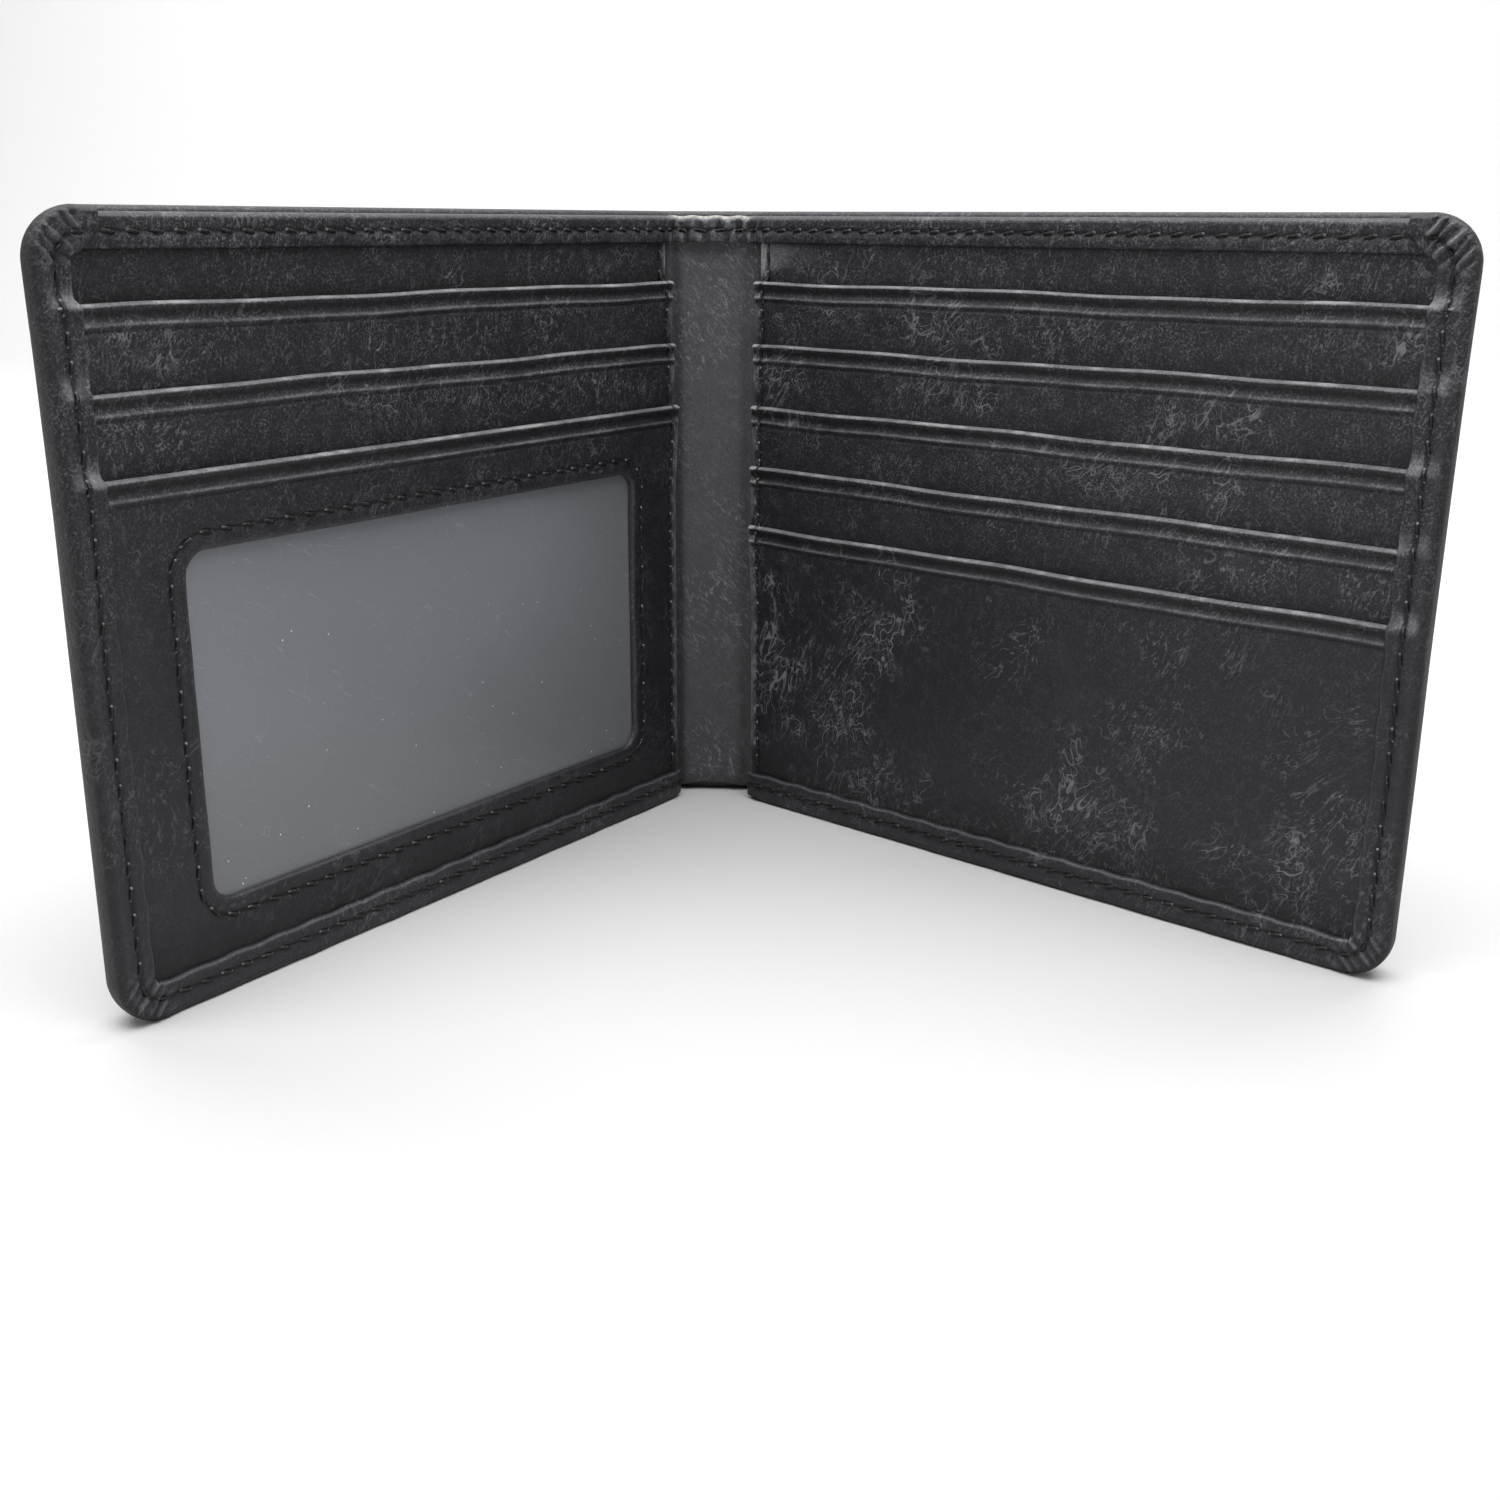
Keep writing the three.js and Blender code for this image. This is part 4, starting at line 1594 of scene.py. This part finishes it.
    def band_relief(self, u: Array, v: Array) -> Array:
        """Shapes the band: a sunk seam, a swell under it, and puckers over the spine.

        With s the place across the whole spine, a pucker is 0.6 sin(2.1 s + 0.9 sin(1.3 v) + 0.5)
        + 0.4 sin(3.7 s - 1.1 v), faded out away from the spine and from the seam.

        Args:
            u: places outwards.
            v: places up.

        Returns:
            The height above the band's face.
        """
        seam = self.height - self.seam_inset
        on_spine = smooth((4.5 - u) / 4.0)
        run = self.across_spine(u)
        fold = 0.6 * np.sin(2.1 * run + 0.9 * np.sin(1.3 * v) + 0.5) + 0.4 * np.sin(3.7 * run - 1.1 * v)
        pucker = 0.34 * on_spine * fold * bump(v, seam, 2.4)
        return self.band_groove.relief(v, seam) + pucker + Ripple(41, 0.03, 6.0)(run, v)

    def across_spine(self, u: Array) -> Array:
        """The place across the whole spine, from 0 at its middle, so that both halves match there."""
        return self.fold.side * (u + self.half_spine)

    def build_band(self) -> None:
        """Makes the band: its section carried along the wing's top edge and half of the spine's."""
        v, n, ahead = (line[:, None] for line in self.band_profile())
        end = float(self.band_high[0])
        u = spread(-self.half_spine, (6.0, 0.22), (end - self.corner, 0.8), (end, 0.4))
        vv = v - self.corner_trim(u, end) * smooth((v - 90.0) / 3.0)
        run = self.across_spine(u)
        vv = vv + 0.16 * np.sin(1.7 * run) * smooth((3.0 - u) / 4.0) * ahead
        relief = self.band_relief(u, v)
        nn = n + relief * ahead
        # Rubbed pale along the crown over the spine and on the pucker tops; painted shade in the
        # puckers' hollows and in the seam's groove.
        crown = smooth((v - 93.2) / 1.0)
        on_spine = smooth((5.0 - u) / 5.0)
        grit = 0.5 + 0.5 * np.sin(5.1 * run + 3.0 * np.sin(0.9 * run))
        worn_and_lit = crown * (0.06 + 1.05 * smooth((1.5 - u) / 2.5) * (0.75 + 0.25 * grit))
        # Pale on the pucker tops, which are rubbed; painted shade in their hollows.
        folds = on_spine * (np.clip(relief * 3.0, 0.0, 0.7) - np.clip(-relief * 1.5, 0.0, 0.6))
        # Painted shade in the seam's groove.
        seam = self.band_groove.shade(v, self.height - self.seam_inset)
        worn_and_lit = np.where(crown > 0.5, worn_and_lit, worn_and_lit + 0.6 * folds * ahead)
        worn_and_lit = np.clip(worn_and_lit + (0.06 * on_spine - seam) * ahead, -1.0, 1.0)
        points = self.fold.bend(u, vv, nn, self.band_reach)
        piece = self.layer(f"{self.name}_band_leather", points, worn_and_lit, self.finishes.band, 0.22)
        self.bending(piece, "inner_leather", *self.with_spine("top_band"))

    # ------------------------------------------------------------ spine

    def build_spine_half(self) -> None:
        """Makes this wing's half of the spine's leather, which runs on behind the card panel."""
        u = spread(-self.half_spine, (self.inner + 1.0, 0.3), (self.inner + 5.0, 1.0))
        low, high = 0.35, float(self.band_low[1]) + 1.2
        v = spread(low, (4.0, 0.25), (high, 0.8))[:, None]
        under = -self.panel - 0.05
        level = -0.25 + (under + 0.25) * smooth((u + 3.2) / 4.5)
        hollow = -0.30 * smooth(-(u - 0.5) / self.half_spine)
        bottom = -1.5 * (1.0 - rounded((v - low) / 2.2))
        uneven = Ripple(51, 0.05, 8.0)(self.across_spine(u), v)
        calm = smooth((self.inner - u) / 3.0)
        arch = 0.7 * smooth((1.0 - u) / self.half_spine) * (1.0 - smooth((v - low) / 6.0))
        points = self.fold.bend(u, v + arch, level + hollow + bottom + uneven * calm, self.reach)
        # A little paler towards the top; painted shade towards the card panel's inner edge, where the
        # spine runs in under it.
        worn_and_lit = 0.10 * smooth((v - 20.0) / 50.0) - 0.8 * smooth((u - 0.9) / 1.8)
        piece = self.layer(f"{self.name}_spine_leather", points, worn_and_lit, self.finishes.spine, 0.2)
        replaced = ["spine_strip"] if self.flip else []
        self.bending(piece, "spine_leather", *replaced)

    # ------------------------------------------------------------ seams

    def build_seams(self) -> None:
        """Makes the stitches of the hem, the band and the inner edge."""
        inset = self.seam_inset
        turn = np.linspace(0.0, QUARTER, 9)
        radius = self.corner - inset
        low = (self.far + radius * np.sin(turn), self.corner - radius * np.cos(turn))
        high = (self.far + radius * np.cos(turn), self.height - self.corner + radius * np.sin(turn))
        level = self.height - inset
        start = [[self.inner + 0.8, inset]]
        end = [[self.hem_end + 1.0, level]]
        line = np.concatenate([start, np.stack(low, axis=-1), np.stack(high, axis=-1), end])

        def hem_face(u: Array, v: Array) -> Array:
            """The hem's level on its seam."""
            return self.hem_level(u, v, inset)

        self.rigid(self.sew("hem", 3, line, hem_face), "thread", f"{self.name}_hem_thread")
        front = float(self.band_high[2])

        def band_face(u: Array, v: Array) -> Array:
            """The band's level."""
            return front + self.band_relief(u, v)

        line = np.array([[-self.half_spine, level], [self.hem_end, level]])
        piece = self.sew("band", 5, line, band_face, reach=self.band_reach)
        self.bending(piece, "thread", *self.with_spine("band_thread"))
        seam = self.inner + self.edge_seam
        line = np.array([[seam, self.bottom_hem + 0.8], [seam, float(self.band_low[1]) - 0.6]])

        def stack_face(u: Array, v: Array) -> Array:
            """The stack's level at the inner edge."""
            return self.stack.level(v) + self.edge_groove(u)

        piece = self.sew("edge", 7, line, stack_face, pitch=2.9)
        self.rigid(piece, "thread", f"{self.name}_edge_thread")

    def sew(
        self,
        name: str,
        seed: int,
        line: Array,
        face: Level,
        pitch: float = 3.2,
        reach: float | None = None,
    ) -> bpy.types.Object:
        """Sews one seam of this wing.

        Args:
            name: the seam's name.
            seed: the start of its random draws.
            line: its line as rows of u and v.
            face: the leather's level along it.
            pitch: the length from stitch to stitch.
            reach: how far it bends beside the fold line; none if it doesn't.

        Returns:
            The stitches.
        """

        def placed(u: Array, v: Array, n: Array) -> Array:
            """The seam's points, bent if it crosses the fold."""
            return self.fold.place(u, v, n) if reach is None else self.fold.bend(u, v, n, reach)

        return Seam(seed=seed, pitch=pitch).build(
            f"{self.name}_{name}_stitches", line, face, placed, self.fold.side, self.finishes.thread
        )

    # ------------------------------------------------------------ the whole wing

    def build(self) -> None:
        """Builds the wing."""
        self.build_cover()
        self.build_linings()
        self.build_panel()
        self.build_pockets()
        self.build_band()
        self.build_spine_half()
        self.build_seams()
        board = self.nodes[f"{self.name}_cover_board"]
        board.data.materials.clear()
        board.data.materials.append(self.finishes.board)


@dataclass
class WindowWing(Wing):
    """The wing whose last pocket has a window for an identity card."""

    top_gather: float = 0.45
    window_low_u: float = 14.3
    window_high_u: float = 97.8
    window_low_v: float = 12.0
    window_high_v: float = 56.0
    window_radius: float = 3.0
    window_edge: float = 0.5
    window_groove: Groove = Groove(0.18, 0.34, 0.06, 1.2, 0.5, 0.9, 0.30)

    def ring(self, margin: Array | float, places: Array) -> tuple[Array, Array]:
        """A line round the window, grown by a margin, with quarter circles at its corners.

        Args:
            margin: how far outside the opening.
            places: shares of the way round, from 0 to 4, one for each side and its corner.

        Returns:
            The u and v of each place.
        """
        radius = self.window_radius
        low_u, high_u = self.window_low_u + radius, self.window_high_u - radius
        low_v, high_v = self.window_low_v + radius, self.window_high_v - radius
        bend = 0.3
        ends = np.array([[low_u, low_v], [high_u, low_v], [high_u, high_v], [low_u, high_v]])
        base, quarter, part = self.walk(ends, places, 1.0 - bend)
        turn = np.clip((part - 1.0 + bend) / bend, 0.0, 1.0) * QUARTER
        heading = quarter * QUARTER - QUARTER + turn
        reach = radius + np.asarray(margin)
        u = base[:, 0] + reach * np.cos(heading)
        v = base[:, 1] + reach * np.sin(heading)
        return u, v

    @staticmethod
    def walk(ends: Array, places: Array, reached: float) -> tuple[Array, Array, Array]:
        """Walks round four corners.

        Args:
            ends: the corners in order, as rows of u and v.
            places: shares of the way round, from 0 to 4, one for each side.
            reached: the share of a side's stretch at which its end is reached.

        Returns:
            The point at each place, the side it is on, and its share of that side.
        """
        side = np.floor(places).astype(int) % 4
        part = places - np.floor(places)
        run = np.clip(part / reached, 0.0, 1.0)
        return ends[side] + (ends[(side + 1) % 4] - ends[side]) * run[:, None], side, part

    def id_level(self, pocket: Pocket, u: Array, v: Array, outside: Array) -> Array:
        """The identity pocket's level: a pocket's, rounded off and grooved round the window.

        Args:
            pocket: the identity pocket.
            u: places outwards.
            v: places up.
            outside: how far outside the opening each place is.

        Returns:
            The level.
        """
        level = self.pocket_level(pocket, u, v)
        groove = self.window_groove.relief(outside, self.window_seam)
        edge = rounded(outside / self.window_edge)
        return pocket.back(v) + (level - pocket.back(v) + groove) * (0.12 + 0.88 * edge)

    def build_window(self) -> None:
        """Makes the identity pocket: a ring from the window's edge out to the pocket's edges."""
        pocket = self.pockets[-1]
        places = np.append(np.linspace(0.0, 4.0, 421)[:-1], 0.0)
        # A ring of even width round the window, then straight lines out to the pocket's edges.
        rim = 4.0
        near = np.concatenate([np.linspace(0.0, 0.5, 6), np.linspace(0.6, rim, 26)])[:, None]
        share = np.concatenate([np.linspace(0.0, 0.35, 6)[1:], np.linspace(0.35, 1.0, 50)[1:]])[:, None]
        ring_u, ring_v = self.ring(near, places)
        grown_u, grown_v = self.ring(rim, places)
        low, top, far = pocket.bottom, pocket.top, self.outer - 2.0
        corners = np.array([[self.inner, low], [far, low], [far, top], [self.inner, top]])
        edge = self.walk(corners, places, 0.85)[0]
        u = np.concatenate([ring_u, grown_u + (edge[:, 0] - grown_u) * share])
        v = np.concatenate([ring_v, grown_v + (edge[:, 1] - grown_v) * share])
        outside = np.concatenate([near, rim + 6.0 * share]) + np.zeros_like(places)
        level = self.id_level(pocket, u, v, outside)
        worn_and_lit = self.pocket_wear_and_light(pocket, u, v) + 0.14 * bump(outside, 0.3, 0.35)
        # Painted shade in the window seam's groove.
        worn_and_lit = worn_and_lit - self.window_groove.shade(outside, self.window_seam)
        mesher = Mesher(f"{pocket.name}_leather")
        placed = self.fold.place(u, self.above_corner(u, v), level)
        mesher.grid(placed, np.clip(worn_and_lit, -1.0, 1.0), not self.flip)
        piece = mesher.build(self.finishes.window, 0.28)
        self.rigid(piece, "inner_leather", pocket.name)

        def window_face(at_u: Array, at_v: Array) -> Array:
            """The leather's level along the window's seam."""
            return self.id_level(pocket, at_u, at_v, np.full_like(at_u, self.window_seam))

        line = np.stack(self.ring(self.window_seam, places), axis=-1)
        piece = self.sew("window", 9, line, window_face)
        self.rigid(piece, "thread", f"{self.name}_window_thread")

    def build_film(self) -> None:
        """Makes the window's film: a sheet with slow waves, which lies against the pocket's back."""
        low, high = self.extent("id_window")
        pocket = self.pockets[-1]
        u = spread(float(low[0]), (float(high[0]), 1.6))
        v = spread(float(low[1]), (float(high[1]), 1.6))[:, None]
        level = pocket.back(v) - 0.16 + Ripple(61, 0.035, 30.0)(u, v)
        points = self.fold.place(u, v, level)
        piece = self.layer(f"{self.name}_id_film", points, 0.0, self.finishes.film, 0.2)
        self.rigid(piece, "window_film", f"{self.name}_id_window")

    def panel_glow(self, u: Array, v: Array) -> Array:
        """No painted sheen on this wing: painted shade darkens its card panel all over instead."""
        return np.full(np.broadcast(u, v).shape, -0.30)

    def build(self) -> None:
        """Builds the wing, its identity pocket and its film."""
        super().build()
        self.build_window()
        self.build_film()


# ---------------------------------------------------------------- studio


@dataclass(frozen=True)
class Lamp:
    """A rectangular soft light: its place, what it looks at, its width and height, and its watts."""

    name: str
    at: Point
    towards: Point
    size: tuple[float, float]
    power: float

    def build(self) -> None:
        """Adds the light to the scene."""
        data = bpy.data.lights.new(self.name, "AREA")
        data.shape = "RECTANGLE"
        data.size, data.size_y = self.size
        data.energy = self.power
        lamp = bpy.data.objects.new(self.name, data)
        lamp.location = self.at
        aim = Vector(self.towards) - Vector(self.at)
        lamp.rotation_euler = aim.to_track_quat("-Z", "Y").to_euler()
        bpy.context.scene.collection.objects.link(lamp)


@dataclass(frozen=True)
class Studio:
    """The floor, the lights and the camera, in metres and degrees."""

    camera_at: Point = (0.006453, -0.231255, 0.093738)
    pitch: float = 17.207
    yaw: float = -2.791
    roll: float = 0.314
    lens: float = 41.08968
    sensor: float = 36.0
    clip_start: float = 0.01
    room_light: float = 0.22
    half_width: float = 3.0
    front: float = -2.5
    back: float = 0.9
    bend: float = 0.5
    wall_heights: tuple[float, float] = (1.4, 2.4)
    dark_paper: Colour = (0.445, 0.445, 0.445)
    pale_paper: Colour = (0.475, 0.475, 0.475)
    lamps: tuple[Lamp, ...] = (
        Lamp("key", (0.0, -0.30, 1.0), (0.0, -0.02, 0.05), (1.2, 0.5), 17.0),
        Lamp("left_fill", (-0.95, -0.35, 0.55), (0.0, 0.0, 0.05), (0.5, 0.5), 2.2),
        Lamp("right_fill", (0.95, -0.25, 0.55), (0.0, 0.0, 0.05), (0.5, 0.5), 1.3),
        Lamp("wall_wash", (0.0, 0.45, 1.1), (0.0, 1.1, 0.3), (1.8, 0.6), 34.0),
    )

    def build(self) -> None:
        """Sets up the floor, a curved backdrop, soft lights, the world and the camera."""
        self.build_floor()
        for lamp in self.lamps:
            lamp.build()
        self.build_world()
        self.build_camera()

    def build_floor(self) -> None:
        """Makes the floor: flat, then curving up behind into a wall, as a paper roll does."""
        run = np.linspace(self.front, self.back, 24)
        turn = np.linspace(0.0, QUARTER, 16)[1:]
        wall = self.back + self.bend
        y = np.concatenate([run, self.back + self.bend * np.sin(turn), [wall, wall]])
        z = np.concatenate([np.zeros_like(run), self.bend * (1.0 - np.cos(turn)), self.wall_heights])
        x = np.linspace(-self.half_width, self.half_width, 9)[:, None]
        points = np.stack(np.broadcast_arrays(x, y, z), axis=-1)
        shop = NodeShop("paper_floor")
        cloud = shop.noise(shop.millimetres(), 400.0, 1.0)
        tint = shop.colours(cloud, self.dark_paper, self.pale_paper)
        mesher = Mesher("studio_floor")
        mesher.grid(points, 0.0, True)
        floor = mesher.build(shop.finish(Base_Color=tint, Roughness=0.55))

    def build_world(self) -> None:
        """Gives the room a soft grey light."""
        world = bpy.data.worlds.new("room")
        world.use_nodes = True
        back = next(n for n in world.node_tree.nodes if n.type == "BACKGROUND")
        back.inputs["Color"].default_value = (1.0, 1.0, 1.0, 1.0)
        back.inputs["Strength"].default_value = self.room_light
        bpy.context.scene.world = world
        bpy.context.scene.view_settings.view_transform = "Standard"

    def build_camera(self) -> None:
        """Sets the camera: turned by the yaw, tilted down by the pitch, then rolled."""
        pitch, yaw, roll = (math.radians(a) for a in (self.pitch, self.yaw, self.roll))
        level = Vector((math.sin(yaw), math.cos(yaw), 0.0)) * math.cos(pitch)
        ahead = level - Vector((0.0, 0.0, math.sin(pitch)))
        right = Vector((math.cos(yaw), -math.sin(yaw), 0.0))
        up = right.cross(ahead)
        rolled = right * math.cos(roll) + up * math.sin(roll)
        raised = up * math.cos(roll) - right * math.sin(roll)
        turned = Matrix((rolled, raised, -ahead)).transposed()
        data = bpy.data.cameras.new("camera")
        data.sensor_width = self.sensor
        data.lens = self.lens
        data.clip_start = self.clip_start
        camera = bpy.data.objects.new("camera", data)
        camera.matrix_world = Matrix.Translation(self.camera_at) @ turned.to_4x4()
        bpy.context.scene.collection.objects.link(camera)
        bpy.context.scene.camera = camera


# ---------------------------------------------------------------- the wallet


def read_fold(frame: dict[str, Any], name: str, side: int) -> Fold:
    """Reads where a wing stands from its joint, and the stack's depth from its card panel.

    Args:
        name: the wing's name.
        side: -1 for the left and 1 for the right.

    Returns:
        The wing's place.
    """
    joint = next(j for j in frame["joints"] if j["child"] == f"{name}_wing")
    hinge = (joint["pos_m"][0] / MM, joint["pos_m"][1] / MM)
    angle = math.radians(-joint["range_deg"][0])
    raw = Fold(name, side, hinge, angle)
    depth = float(raw.extent(frame["nodes"][f"{name}_card_panel"])[1][2])
    return Fold(name, side, hinge, angle, depth)


def main() -> None:
    """Builds the wallet's wings and the studio."""
    logging.basicConfig(level=logging.INFO, format="%(message)s")
    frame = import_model()
    finishes = Finishes.make()
    left = read_fold(frame, "left", -1)
    right = read_fold(frame, "right", 1)
    half = 0.5 * (right.hinge[0] - left.hinge[0])
    WindowWing(left, frame["nodes"], finishes, half).build()
    Wing(right, frame["nodes"], finishes, half).build()
    Studio().build()


if __name__ == "__main__":
    main()
